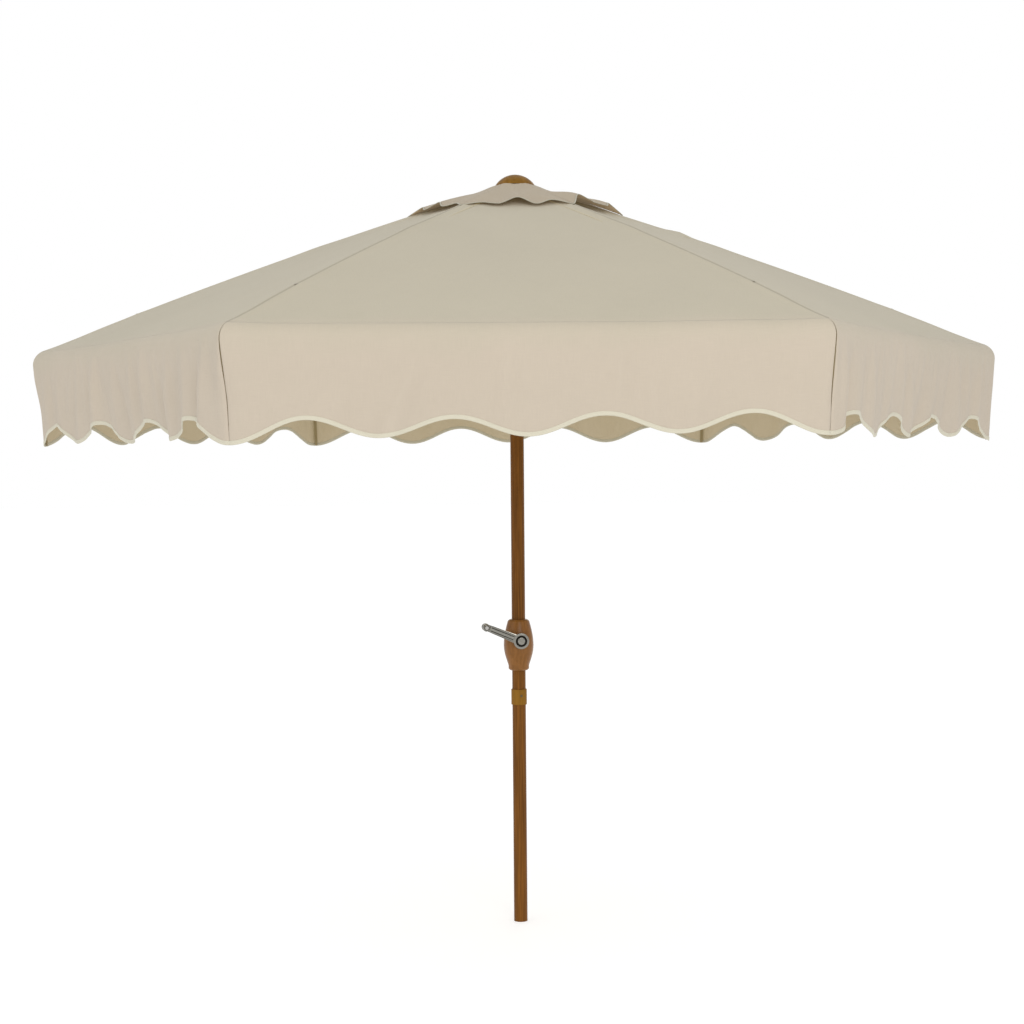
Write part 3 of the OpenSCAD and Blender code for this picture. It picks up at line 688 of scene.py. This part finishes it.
# How far gathers lift the hem at the same places
EVEN_HEM = (0.0, 0.0, 0.004, 0.0, 0.006, 0.0, 0.004, 0.0, 0.0)
HEM_RAISE = {
    **dict.fromkeys(PLAIN_SIDES, EVEN_HEM),
    4: (0.0, 0.0, 0.006, 0.0, 0.004, 0.0, 0.008, 0.0, -0.004),
    5: (-0.004, -0.004, 0.009, -0.004, 0.010, 0.001, 0.014, 0.004, 0.008),
    6: (0.008, 0.002, 0.004, 0.002, 0.004, 0.002, 0.006, 0.002, -0.004),
}
# Height of the fine creases, and strength of the folds, by side
FINE_WRINKLES = {1: 0.0020, 2: 0.0018, 3: 0.0020, 4: 0.0028, 5: 0.0006, 6: 0.0032}
FOLD_STRENGTH = {**dict.fromkeys(PLAIN_SIDES, 1.2), 4: 0.85, 5: 2.4, 6: 0.9}
# Width of the open slit between two strips, by rib
SLITS = {1: 0.0014, 2: 0.0012, 3: 0.0014, 4: 0.0012, 5: 0.0026, 6: 0.0034}
# How far from each corner the strips hang round it instead of creasing, by rib
ROUNDED_REACH = {1: 0.012, 2: 0.035, 3: 0.035, 4: 0.044, 5: 0.048, 6: 0.022}


def fold_depth(folds, t, down):
    """How far the valance stands out at a place t along its side and a distance down from the eave."""
    total = 0.0
    for at, slant, start, width, depth in folds:
        fall = max(down - start, 0.0)
        x = (t - at - slant * fall) / (width + 0.12 * fall)
        crest = bell(x) - 0.42 * bell(x * 0.7 - 1.1) - 0.30 * bell(x * 0.7 + 1.2)
        total += depth * smooth(fall / 0.13) * crest
    return total


def along_line(values, u):
    """A smooth curve through values at even places, for u from -1 to 1."""
    place_on = (u + 1) / 2 * (len(values) - 1)
    i = min(int(place_on), len(values) - 2)
    x = place_on - i
    before, first, second, after = (values[min(max(j, 0), len(values) - 1)] for j in range(i - 1, i + 3))
    rise = (second - before) / 2
    fall = (after - first) / 2
    return (first + rise * x + (3 * (second - first) - 2 * rise - fall) * x * x
            + (2 * (first - second) + rise + fall) * x * x * x)


def nearer_rib(side, u):
    return side if u < 0 else next_rib(side)


def corner_ease(side, u, edge, fall):
    """How far the cloth is drawn in at a distance from a corner, where the strips hang round it."""
    reach = ROUNDED_REACH[nearer_rib(side, u)] * smooth(fall / 0.15)
    if edge >= reach:
        return 0.0
    return -reach * math.tan(HALF_TURN) / 2 * (1 - edge / reach) ** 2


def slit_half(side, u, down):
    """Half the gap between this strip and the next one at a corner."""
    rib = nearer_rib(side, u)
    waver = 0.75 + 0.5 * noise.noise(Vector((down * 22, rib * 3.0, 0.5)))
    return SLITS[rib] / 2 * waver * smooth((down - 0.02) / 0.05) + 0.3 * MM


def wrinkles(side, t, down):
    """Fine creases that run down from the eave."""
    streak = noise.noise(Vector((t * 34 + side * 9, down * 3.5, side)))
    finer = noise.noise(Vector((t * 80 + side * 5, down * 6, side + 3)))
    return FINE_WRINKLES[side] * (streak + 0.45 * finer) * smooth(down / 0.09)


def corner_knob(side, t, down):
    """Small lump of gathered seam at the top of the front left corner."""
    lump = bell((t + 0.662) / 0.010) * bell((down - 0.040) / 0.016)
    return 0.006 * lump if side == FRONT else 0.0


def valance_rows(side, sag):
    """Points from the eave down to the scalloped hem of one side."""
    across = across_side(150, CANOPY_R / 2)
    turns = [FOLD_START + (-VALANCE_LEAN - FOLD_START) * i / 10 for i in range(11)]
    falls = 28
    strength = FOLD_STRENGTH[side]
    rows, uvs = [], []
    for turn in turns:
        d = FOLD_D + EAVE_ROUND * math.cos(turn)
        half = d * math.tan(HALF_TURN)
        down = EAVE_ROUND * (FOLD_START - turn)
        row = []
        for u in across:
            t = u * (half - slit_half(side, u, down))
            free = smooth((1 - abs(u)) * half / 0.04)
            out = EAVE_ROUND + stand_off(side, u, ROOF_END_D, sag) + seam_turn(u, half, 0.0014, 0.003)
            out += (strength * fold_depth(FOLDS[side], t, down) + wrinkles(side, t, down)) * free
            row.append(place(side, FOLD_D + out * math.cos(turn), t, FOLD_Z + out * math.sin(turn)))
        rows.append(row)
        uvs.append([(u * half + side, down) for u in across])
    edge_d = FOLD_D + EAVE_ROUND * math.cos(VALANCE_LEAN)
    edge_z = FOLD_Z - EAVE_ROUND * math.sin(VALANCE_LEAN)
    for i in range(1, falls + 1):
        row, uv = [], []
        for u in across:
            raised = SCALLOP_DEPTH * scallop(u, SCALLOPS) + along_line(HEM_RAISE[side], u)
            fall = (SKIRT_LEN - 2.5 * MM - raised) * i / falls
            down = FOLD_LEN + fall
            d = edge_d - fall * math.sin(VALANCE_LEAN)
            half = (d + corner_ease(side, u, 0.0, fall)) * math.tan(HALF_TURN)
            t = u * (half - slit_half(side, u, down))
            free = smooth((1 - abs(u)) * half / 0.04)
            rise = along_line(HEM_LINE[side], u) * (fall / SKIRT_LEN) ** 1.5
            rise += corner_ease(side, u, (1 - abs(u)) * half, fall)
            rise += (strength * fold_depth(FOLDS[side], t, down) + wrinkles(side, t, down)) * free
            rise += stand_off(side, u, ROOF_END_D, sag) * (1 - fall / SKIRT_LEN) + corner_knob(side, t, down)
            rise += seam_turn(u, half, 0.0016, 0.003)
            row.append(place(side, d + rise, t, edge_z - fall * math.cos(VALANCE_LEAN)))
            uv.append((t + side, down))
        rows.append(row)
        uvs.append(uv)
    return rows, uvs


def slit_shade_tape(name, left_edge, right_edge):
    """A narrow tape behind the slit between two strips, given their facing edges; its dark cloth is painted shade
    seen through the slit.
    """
    offsets = (-0.005, -0.0025, 0.0, 0.0025, 0.005)
    rows, uvs, travel = [], [], 0.0
    for i, (left, right) in enumerate(zip(left_edge, right_edge)):
        seam = (left + right) / 2
        out = Vector((seam.x, seam.y, 0)).normalized()
        along = Vector((-out.y, out.x, 0))
        if i:
            travel += (left - left_edge[i - 1]).length
        rows.append([seam + along * s - out * (2.2 * MM + abs(s) * 0.6) for s in offsets])
        uvs.append([(offset - offsets[0], travel) for offset in offsets])
    return grid_sheet(name, rows, uvs)


def binding_strip(name, edge, ups, outs, width, half_thickness, start_u):
    """A strip of binding folded over an edge: edge points, unit vectors up the cloth and out of it."""
    ring = ((-0.12, 0.0), (-0.06, 0.75), (0.12, 1.0), (0.92, 1.0), (1.0, 0.6),
            (1.0, -0.6), (0.92, -1.0), (0.12, -1.0), (-0.06, -0.75), (-0.12, 0.0))
    rows, uvs, travel = [], [], start_u
    for i, point in enumerate(edge):
        if i:
            travel += (point - edge[i - 1]).length
        rows.append([point + ups[i] * (width * a) + outs[i] * (half_thickness * b) for a, b in ring])
        uvs.append([(travel, width * max(a, 0.0)) for a, _ in ring])
    return close_ends(grid_sheet(name, rows, uvs))


def close_ends(piece):
    """Joins a rolled-up grid along its seam and caps its two ends."""
    merge_mesh(piece, 0.00001)
    bpy.ops.mesh.select_all(action="DESELECT")
    bpy.ops.mesh.select_non_manifold(extend=False)
    bpy.ops.mesh.edge_face_add()
    bpy.ops.mesh.select_all(action="SELECT")
    face_outwards()
    return piece


def edge_vectors(points, above):
    """Unit vectors up the cloth and out of it at each point of an edge, from the row above it."""
    ups, outs = [], []
    for i, point in enumerate(points):
        tangent = (points[min(i + 1, len(points) - 1)] - points[max(i - 1, 0)]).normalized()
        up = above[i] - point
        up = (up - tangent * up.dot(tangent)).normalized()
        ups.append(up)
        outs.append(tangent.cross(up) * -1)
    return ups, outs


def sheet_edge(piece, columns):
    """The last two rows of a grid sheet, as points."""
    points = [vertex.co.copy() for vertex in piece.data.vertices]
    return points[-columns:], points[-2 * columns:-columns]


# ---- operators ----
class PARASOL_OT_roof(bpy.types.Operator):
    """Adds the six roof panels"""

    bl_idname = "parasol.roof"
    bl_label = "Roof panels"

    def execute(self, context):
        cloth = context.scene.parasol_cloth
        material = cloth_finish("canopy_cloth", cloth.roof_colour, cloth.valance_colour, 0.3, seam=0.36)
        inside = cloth_finish("canopy_inside", cloth.roof_colour, cloth.roof_colour, 0.3, cloth.glow)
        for side in range(1, SIDES + 1):
            piece = grid_sheet(f"roof_cloth_{side}", *roof_rows(side, cloth.sag))
            finish_piece(piece, material)
            thicken(piece, cloth.thickness, inside)
            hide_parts(f"roof_panel_{side}")
            fold_with_canopy(piece, f"panel_{side}", side)
            f"rib_{next_rib(side)}"
        return {"FINISHED"}


class PARASOL_OT_valance(bpy.types.Operator):
    """Adds the six valance strips with their binding, and the tapes at their corners, whose dark cloth is painted
    shade seen through the slits
    """

    bl_idname = "parasol.valance"
    bl_label = "Valance"

    def execute(self, context):
        cloth = context.scene.parasol_cloth
        material = cloth_finish("valance_cloth", cloth.roof_colour, cloth.valance_colour, 0.55)
        inside = cloth_finish("valance_inside", cloth.valance_colour, cloth.valance_colour, 0.4, cloth.glow)
        trim = binding_finish("hem_binding", cloth.binding_colour)
        # Painted shade: the tape behind each slit gets a dark copy of the roof colour and a weaker glow, for the
        # shade seen through the slit
        slit_shade_colour = [share * channel for share, channel in zip((0.62, 0.54, 0.40), cloth.roof_colour)]
        slit_shade_cloth = cloth_finish("slit_shade_tape", slit_shade_colour, slit_shade_colour, 0.2, 0.3 * cloth.glow)
        sides = {side: valance_rows(side, cloth.sag) for side in range(1, SIDES + 1)}
        for side, (rows, uvs) in sides.items():
            next_rows = sides[next_rib(side)][0]
            last_rows = sides[(side - 2) % SIDES + 1][0]
            columns = len(rows[0])
            piece = grid_sheet(f"valance_cloth_{side}", rows, uvs)
            hem, above = sheet_edge(piece, columns)
            hem[0] = (hem[0] + last_rows[-1][-1]) / 2
            hem[-1] = (hem[-1] + next_rows[-1][0]) / 2
            ups, outs = edge_vectors(hem, above)
            binding = binding_strip(f"hem_binding_{side}", hem, ups, outs,
                                    cloth.binding_width, 1.1 * MM, side * 2.0)
            tape = slit_shade_tape(f"slit_shade_tape_{side}", [row[-1] for row in rows], [row[0] for row in next_rows])
            finish_piece(piece, material)
            thicken(piece, cloth.thickness, inside)
            finish_piece(binding, trim)
            finish_piece(tape, slit_shade_cloth)
            thicken(tape, 0.5 * MM)
            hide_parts(f"valance_{side}")
            for part in (piece, binding, tape):
                fold_with_canopy(part, f"valance_{side}", side)
        return {"FINISHED"}


# How far the vent's hem curls up at even places along each side, from one rib to the next: at the
# ribs, in the middle of each scallop and between them
VENT_CURL = {
    1: (0.0, 0.002, 0.002, 0.012, 0.004, 0.010, 0.0),
    2: (0.0, 0.009, 0.003, 0.011, 0.003, 0.009, 0.0),
    3: (0.0, 0.010, 0.003, 0.009, 0.003, 0.011, 0.0),
    4: (0.0, 0.013, 0.006, 0.016, 0.004, 0.004, 0.0),
    FRONT: (0.0, 0.001, 0.0, 0.014, 0.001, 0.007, 0.001),
    6: (0.001, 0.026, 0.018, 0.016, 0.016, 0.022, 0.002),
}


def vent_z(side, u, share, d):
    """Height of the vent flap: propped up by the finial's rim, and lying on the roof at its hem."""
    curl = max(along_line(VENT_CURL[side], u), 0.0) * smooth((share - 0.35) / 0.65)
    ripple = 0.0025 * noise.noise(Vector((u * 3 + side * 5, share * 3, 1.7))) * (1 - u * u)
    droop = -0.0115 * share * share - 0.003 * share * abs(u) ** 6
    prop = 0.004 * bell((d - 0.052) / 0.022)
    return APEX_Z + VENT_RISE - VENT_SLOPE * d / math.cos(HALF_TURN) + curl + ripple + droop + prop


def vent_rows(side):
    """Points from the finial out to the scalloped hem of one side of the vent flap."""
    columns = 72
    steps = 22
    slope = math.atan(VENT_SLOPE / math.cos(HALF_TURN))
    depth = VENT_SCALLOP_DEPTH * math.cos(slope)
    rows, uvs = [], []
    for share in (i / steps for i in range(steps + 1)):
        row, uv = [], []
        for u in (2 * j / columns - 1 for j in range(columns + 1)):
            end = VENT_D - depth * scallop(u, VENT_SCALLOPS)
            d = VENT_INNER_D + (end - VENT_INNER_D) * share
            half = d * math.tan(HALF_TURN) - SEAM_GAP
            row.append(place(side, d, u * half, vent_z(side, u, share, d)))
            uv.append((u * half + side, d / math.cos(slope)))
        rows.append(row)
        uvs.append(uv)
    return rows, uvs


class PARASOL_OT_vent(bpy.types.Operator):
    """Adds the vent flap over the roof's top opening"""

    bl_idname = "parasol.vent"
    bl_label = "Vent flap"

    def execute(self, context):
        cloth = context.scene.parasol_cloth
        material = cloth_finish("vent_cloth", cloth.vent_colour, cloth.vent_colour, 0.4)
        # Painted light: the vent's inner face gets a warmer copy of its colour and a stronger glow, for the
        # daylight coming through the flap
        tan = [share * channel for share, channel in zip((1.12, 0.98, 0.86), cloth.vent_colour)]
        inside = cloth_finish("vent_inside", tan, tan, 0.4, 1.3 * cloth.glow, (1.0, 0.80, 0.50, 1.0))
        trim = binding_finish("vent_binding", [0.72 * channel for channel in cloth.binding_colour])
        for side in range(1, SIDES + 1):
            rows, uvs = vent_rows(side)
            piece = grid_sheet(f"vent_cloth_{side}", rows, uvs)
            hem, above = sheet_edge(piece, len(rows[0]))
            ups, outs = edge_vectors(hem, above)
            binding = binding_strip(f"vent_binding_{side}", hem, ups, outs, 3.5 * MM, 0.8 * MM, side * 2.0)
            finish_piece(piece, material)
            thicken(piece, cloth.thickness, inside)
            finish_piece(binding, trim)
            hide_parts(f"vent_panel_{side}")
            for part in (piece, binding):
                fold_with_canopy(part, f"panel_{side}", side)
            f"rib_{next_rib(side)}"
        return {"FINISHED"}


class PARASOL_OT_sleeves(bpy.types.Operator):
    """Adds the cloth sleeve under each ridge, which the rib runs in"""

    bl_idname = "parasol.sleeves"
    bl_label = "Rib sleeves"

    def execute(self, context):
        cloth = context.scene.parasol_cloth
        sleeve = [0.93 * channel for channel in cloth.roof_colour]
        material = cloth_finish("sleeve_cloth", sleeve, sleeve, 0.3, 0.8 * cloth.glow)
        wing = 0.030
        offsets = [wing * (j / 6 - 1) for j in range(13)]
        for rib in range(1, SIDES + 1):
            out, along = out_at(rib)
            rows, uvs = [], []
            steps = 60
            for i in range(steps + 1):
                r = SLEEVE_INNER_R + (SLEEVE_OUTER_R - SLEEVE_INNER_R) * i / steps
                row = []
                for t in offsets:
                    d = r * math.cos(HALF_TURN) + abs(t) * math.sin(HALF_TURN)
                    z = panel_z(d) + ridge_lift(rib, r) * bell(t / RIDGE_WIDTH) - 2.4 * MM
                    row.append(out * r + along * t + Vector((0, 0, z)))
                rows.append(row)
                uvs.append([(t + rib, r) for t in offsets])
            piece = grid_sheet(f"rib_sleeve_{rib}", rows, uvs)
            finish_piece(piece, material)
            thicken(piece, 0.6 * MM)
            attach(piece, f"rib_{rib}")
            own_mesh(piece)
        return {"FINISHED"}


CHROME = (0.25, 0.243, 0.215)
FINISHES = {
    "pole": lambda: wood_look_finish("pole_foil", (0.098, 0.036, 0.004), (0.245, 0.094, 0.012)),
    "collar": lambda: wood_look_finish(
        "collar_plastic", (0.20, 0.095, 0.008), (0.26, 0.125, 0.014), roughness=0.5, grain=120.0),
    "housing": lambda: wood_look_finish(
        "housing_plastic", (0.180, 0.072, 0.011), (0.265, 0.112, 0.024),
        roughness=0.30, grain=120.0, coat=0.05, shine=0.25),
    "finial": lambda: wood_look_finish(
        "finial_plastic", (0.155, 0.072, 0.005), (0.23, 0.112, 0.010), grain=90.0),
    "black_plastic": lambda: plastic_finish("dark_moulding", (0.030, 0.024, 0.020)),
    "drum": lambda: plastic_finish("drum_moulding", (0.06, 0.055, 0.05)),
    "steel": lambda: metal_finish("pin_steel", (0.42, 0.41, 0.39), 0.32),
    "dark_steel": lambda: metal_finish("blackened_steel", (0.12, 0.085, 0.04), 0.45, 0.6),
    # The chrome crank and knob get near-black painted shade in their recess and grooves
    "zinc": lambda: metal_finish("chromed_zinc", CHROME, 0.2, shade_mask=crank_recess_shade),
    "knob": lambda: metal_finish("chromed_knob", CHROME, 0.2, shade_mask=knob_recess_shade),
    "frame_steel": lambda: metal_finish("bronze_lacquer", (0.16, 0.085, 0.04), 0.45, 0.35),
    "cord": lambda: braid_finish("cord_braid", (0.62, 0.60, 0.54)),
}

# Moulded and cast parts of the frame: body, material slot, edge radius
EASED_PARTS = {
    "housing_front": ("root", "housing", 0.0016),
    "housing_rear": ("root", "housing", 0.0016),
    "finial": ("root", "finial", 0.0008),
    "joint_collar": ("root", "collar", 0.0010),
    "crank_lever": ("crank", "zinc", 0.0009),
    "crank_screw": ("crank", "zinc", 0.0007),
    "crank_knob": ("knob", "knob", 0.0008),
}


def eased_copy(node_name, radius):
    """A copy of a frame part with its faces joined up and its sharp edges rounded."""
    node = frame["nodes"][node_name]
    piece = bpy.data.objects.new(f"{node_name}_eased", node.data.copy())
    bpy.context.scene.collection.objects.link(piece)
    piece.data.materials.clear()
    merge_mesh(piece, 0.00001)
    bpy.ops.mesh.dissolve_limited(angle_limit=math.radians(0.5))
    face_outwards()
    bevel = piece.modifiers.new("Eased edges", "BEVEL")
    bevel.width = radius
    bevel.segments = 3
    bevel.limit_method = "ANGLE"
    bevel.angle_limit = math.radians(35)
    bevel.use_clamp_overlap = True
    apply_modifiers(piece)
    use(piece)
    bpy.ops.object.shade_smooth_by_angle(angle=math.radians(32))
    return piece


class PARASOL_OT_eased_parts(bpy.types.Operator):
    """Adds the moulded and cast parts with rounded edges"""

    bl_idname = "parasol.eased_parts"
    bl_label = "Eased mouldings"

    def execute(self, context):
        for node_name, (body, slot_name, radius) in EASED_PARTS.items():
            piece = eased_copy(node_name, radius)
            finish_piece(piece, frame["nodes"][node_name].data.materials[0])
            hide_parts(node_name)
            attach(piece, body)
        return {"FINISHED"}


class PARASOL_OT_studs(bpy.types.Operator):
    """Adds the cloth-coloured cap over each roof stud"""

    bl_idname = "parasol.studs"
    bl_label = "Stud caps"

    def execute(self, context):
        cloth = context.scene.parasol_cloth
        material = plastic_finish("stud_cap", [0.62 * channel for channel in cloth.roof_colour])
        fall = math.atan((ridge_z(STUD_R - MM) - ridge_z(STUD_R + MM)) / (2 * MM))
        for rib in range(1, SIDES + 1):
            turn = SIDE_TURN * (rib - 1)
            place_at = Vector((STUD_R * math.cos(turn), STUD_R * math.sin(turn), ridge_z(STUD_R) + 1.5 * MM))
            deselect()
            bpy.ops.mesh.primitive_cylinder_add(vertices=32, radius=4.3 * MM, depth=2.2 * MM,
                                                location=place_at, rotation=(0, fall, turn))
            cap = bpy.context.active_object
            cap.name = f"stud_cap_{rib}"
            bpy.ops.object.transform_apply(location=True, rotation=True, scale=True)
            crown = cap.modifiers.new("Crown", "BEVEL")
            crown.width = 0.9 * MM
            crown.segments = 3
            crown.limit_method = "ANGLE"
            apply_modifiers(cap)
            bpy.ops.object.shade_smooth_by_angle(angle=math.radians(40))
            finish_piece(cap, material)
            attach(cap, f"rib_{rib}")
        return {"FINISHED"}


class PARASOL_OT_lift_cord(bpy.types.Operator):
    """Adds the braided lift cord, from its knot in the runner over the pulley to the drum"""

    bl_idname = "parasol.lift_cord"
    bl_label = "Lift cord"

    def execute(self, context):
        radius = 1.75 * MM
        bend = 10 * MM
        drum_radius = 10 * MM
        axle_turn = math.radians(277)
        pulley = Vector(JOINTS["pulley_spin"]["pos_m"])
        drum_side = Vector((-math.sin(axle_turn), math.cos(axle_turn), 0)) * (drum_radius + radius)
        route = [Vector((0, pulley.y + bend, z)) for z in (1.652, 1.70, 1.80, 1.90, 2.0)]
        route += [pulley + Vector((0, bend * math.cos(a * math.pi / 12), bend * math.sin(a * math.pi / 12)))
                  for a in range(13)]
        route += [Vector((x * MM, y * MM, z)) for x, y, z in
                  ((0, 7, 2.0), (2, 6, 1.8), (4, 5, 1.6), (6, 4, 1.4), (8, 3.3, 1.2), (10, 2.6, 1.0))]
        route += [CRANK + drum_side + Vector((0, 0, up)) - AXLE * (CRANK.xy.length) for up in (0.075, 0.0115)]
        piece = self.tube("lift_cord_braid", route, radius)
        knot = self.knot(Vector((0, pulley.y + bend, 1.6585)))
        material = FINISHES["cord"]()
        finish_piece(piece, material)
        finish_piece(knot, material)
        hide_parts("lift_cord")
        for part in (piece, knot):
            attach(part, "root")
        return {"FINISHED"}

    def tube(self, name, route, radius):
        """A round tube along a route, with cloth coordinates along it and round it."""
        rows, uvs, travel = [], [], 0.0
        count = 12
        for i, point in enumerate(route):
            along = (route[min(i + 1, len(route) - 1)] - route[max(i - 1, 0)]).normalized()
            side = (Vector((1, 0, 0)) - along * along.x).normalized()
            up = along.cross(side)
            if i:
                travel += (point - route[i - 1]).length
            rows.append([
                point + radius * (math.cos(math.tau * j / count) * side + math.sin(math.tau * j / count) * up)
                for j in range(count + 1)
            ])
            uvs.append([(travel, j / count) for j in range(count + 1)])
        return close_ends(grid_sheet(name, rows, uvs))

    def knot(self, place_at):
        """A plain ball of cord in the place of the knot under the runner."""
        deselect()
        bpy.ops.mesh.primitive_torus_add(location=place_at, rotation=(0.5, 0.3, 0), major_radius=1.5 * MM,
                                         minor_radius=1.5 * MM, major_segments=24, minor_segments=12)
        piece = bpy.context.active_object
        piece.name = "lift_cord_knot"
        bpy.ops.object.transform_apply(location=True, rotation=True, scale=True)
        merge_mesh(piece, 0.2 * MM)
        face_outwards()
        bpy.ops.object.shade_smooth()
        return piece


class PARASOL_OT_finishes(bpy.types.Operator):
    """Gives each part of the frame its own finish"""

    bl_idname = "parasol.finishes"
    bl_label = "Frame finishes"

    def execute(self, context):
        slots = {part["node"]: part["material_slot"] for part in frame["record"]["subparts"]}
        made = {}
        for name, node in frame["nodes"].items():
            slot_name = slots[name]
            if slot_name not in FINISHES:
                continue
            if slot_name not in made:
                made[slot_name] = FINISHES[slot_name]()
            node.data.materials.clear()
            node.data.materials.append(made[slot_name])
        return {"FINISHED"}


class PARASOL_OT_stage(bpy.types.Operator):
    """Adds the floor, the studio light and the camera"""

    bl_idname = "parasol.stage"
    bl_label = "Stage"

    def execute(self, context):
        stage = context.scene.parasol_stage
        scene = context.scene
        scene.view_settings.view_transform = "Standard"
        scene.world = self.surroundings(stage.fill)
        deselect()
        bpy.ops.mesh.primitive_plane_add(size=80, location=(0, 0, 0))
        floor = context.active_object
        floor.name = "studio_floor"
        paper = Finish("white_paper", Roughness=0.9, Base_Color=(0.45, 0.45, 0.45, 1.0),
                       Emission_Color=(1.0, 1.0, 1.0, 1.0), Emission_Strength=0.62)
        floor.data.materials.append(paper.material)
        self.light("key_light", (1.1, -6.0, 3.6), (0, 0, 1.5), 3.0, stage.key)
        self.light("left_light", (-5.0, -3.2, 2.6), (0, 0, 1.5), 3.0, 0.25 * stage.key)
        self.light("back_light", (1.5, 6.0, 3.2), (0, 0, 1.6), 3.0, 0.3 * stage.key)
        self.camera(stage)
        return {"FINISHED"}

    def surroundings(self, strength):
        """A white backdrop that lights the object a little more softly than it shows."""
        world = bpy.data.worlds.new("white_studio")
        world.use_nodes = True
        tree = world.node_tree
        background = tree.nodes["Background"]
        background.inputs["Color"].default_value = (1.0, 1.0, 1.0, 1.0)
        seen = Wire(tree, tree.nodes.new("ShaderNodeLightPath").outputs["Is Camera Ray"])
        tree.links.new((seen * (1.0 - strength) + strength).socket, background.inputs["Strength"])
        return world

    def light(self, name, place_at, target, size, power):
        data = bpy.data.lights.new(name, "AREA")
        data.energy = power
        data.size = size
        data.color = (1.0, 0.97, 0.94)
        lamp = bpy.data.objects.new(name, data)
        bpy.context.scene.collection.objects.link(lamp)
        lamp.location = place_at
        aim = Vector(target) - Vector(place_at)
        lamp.rotation_euler = aim.to_track_quat("-Z", "Y").to_euler()

    def camera(self, stage):
        data = bpy.data.cameras.new("studio_camera")
        data.lens = stage.lens
        data.sensor_width = 36
        data.clip_end = 100
        camera = bpy.data.objects.new("studio_camera", data)
        bpy.context.scene.collection.objects.link(camera)
        pitch, roll, yaw = stage.camera_turn
        turned = (Matrix.Rotation(-yaw, 4, "Z") @ Matrix.Rotation(math.pi / 2 - pitch, 4, "X")
                  @ Matrix.Rotation(roll, 4, "Z"))
        camera.matrix_world = Matrix.Translation(stage.camera_place) @ turned
        bpy.context.scene.camera = camera


class PARASOL_PT_sidebar(bpy.types.Panel):
    """Lists the parasol's settings and the operators that build it"""

    bl_label = "Parasol"
    bl_idname = "PARASOL_PT_sidebar"
    bl_space_type = "VIEW_3D"
    bl_region_type = "UI"
    bl_category = "Parasol"

    def draw(self, context):
        for settings in (context.scene.parasol_cloth, context.scene.parasol_stage):
            box = self.layout.box()
            for key in settings.__annotations__:
                box.prop(settings, key)
        for operator in BUILD_ORDER:
            self.layout.operator(operator.bl_idname)


BUILD_ORDER = (
    PARASOL_OT_stage,
    PARASOL_OT_finishes,
    PARASOL_OT_eased_parts,
    PARASOL_OT_lift_cord,
    PARASOL_OT_roof,
    PARASOL_OT_valance,
    PARASOL_OT_vent,
    PARASOL_OT_sleeves,
    PARASOL_OT_studs,
)
SETTINGS = (ClothSettings, StageSettings)


def register():
    for cls in (*SETTINGS, *BUILD_ORDER, PARASOL_PT_sidebar):
        bpy.utils.register_class(cls)
    bpy.types.Scene.parasol_cloth = bpy.props.PointerProperty(type=ClothSettings)
    bpy.types.Scene.parasol_stage = bpy.props.PointerProperty(type=StageSettings)


def unregister():
    del bpy.types.Scene.parasol_stage
    del bpy.types.Scene.parasol_cloth
    for cls in (PARASOL_PT_sidebar, *reversed(BUILD_ORDER), *reversed(SETTINGS)):
        bpy.utils.unregister_class(cls)


def main():
    register()
    for operator in BUILD_ORDER:
        group, name = operator.bl_idname.split(".")
        getattr(getattr(bpy.ops, group), name)()


if __name__ == "__main__":
    main()
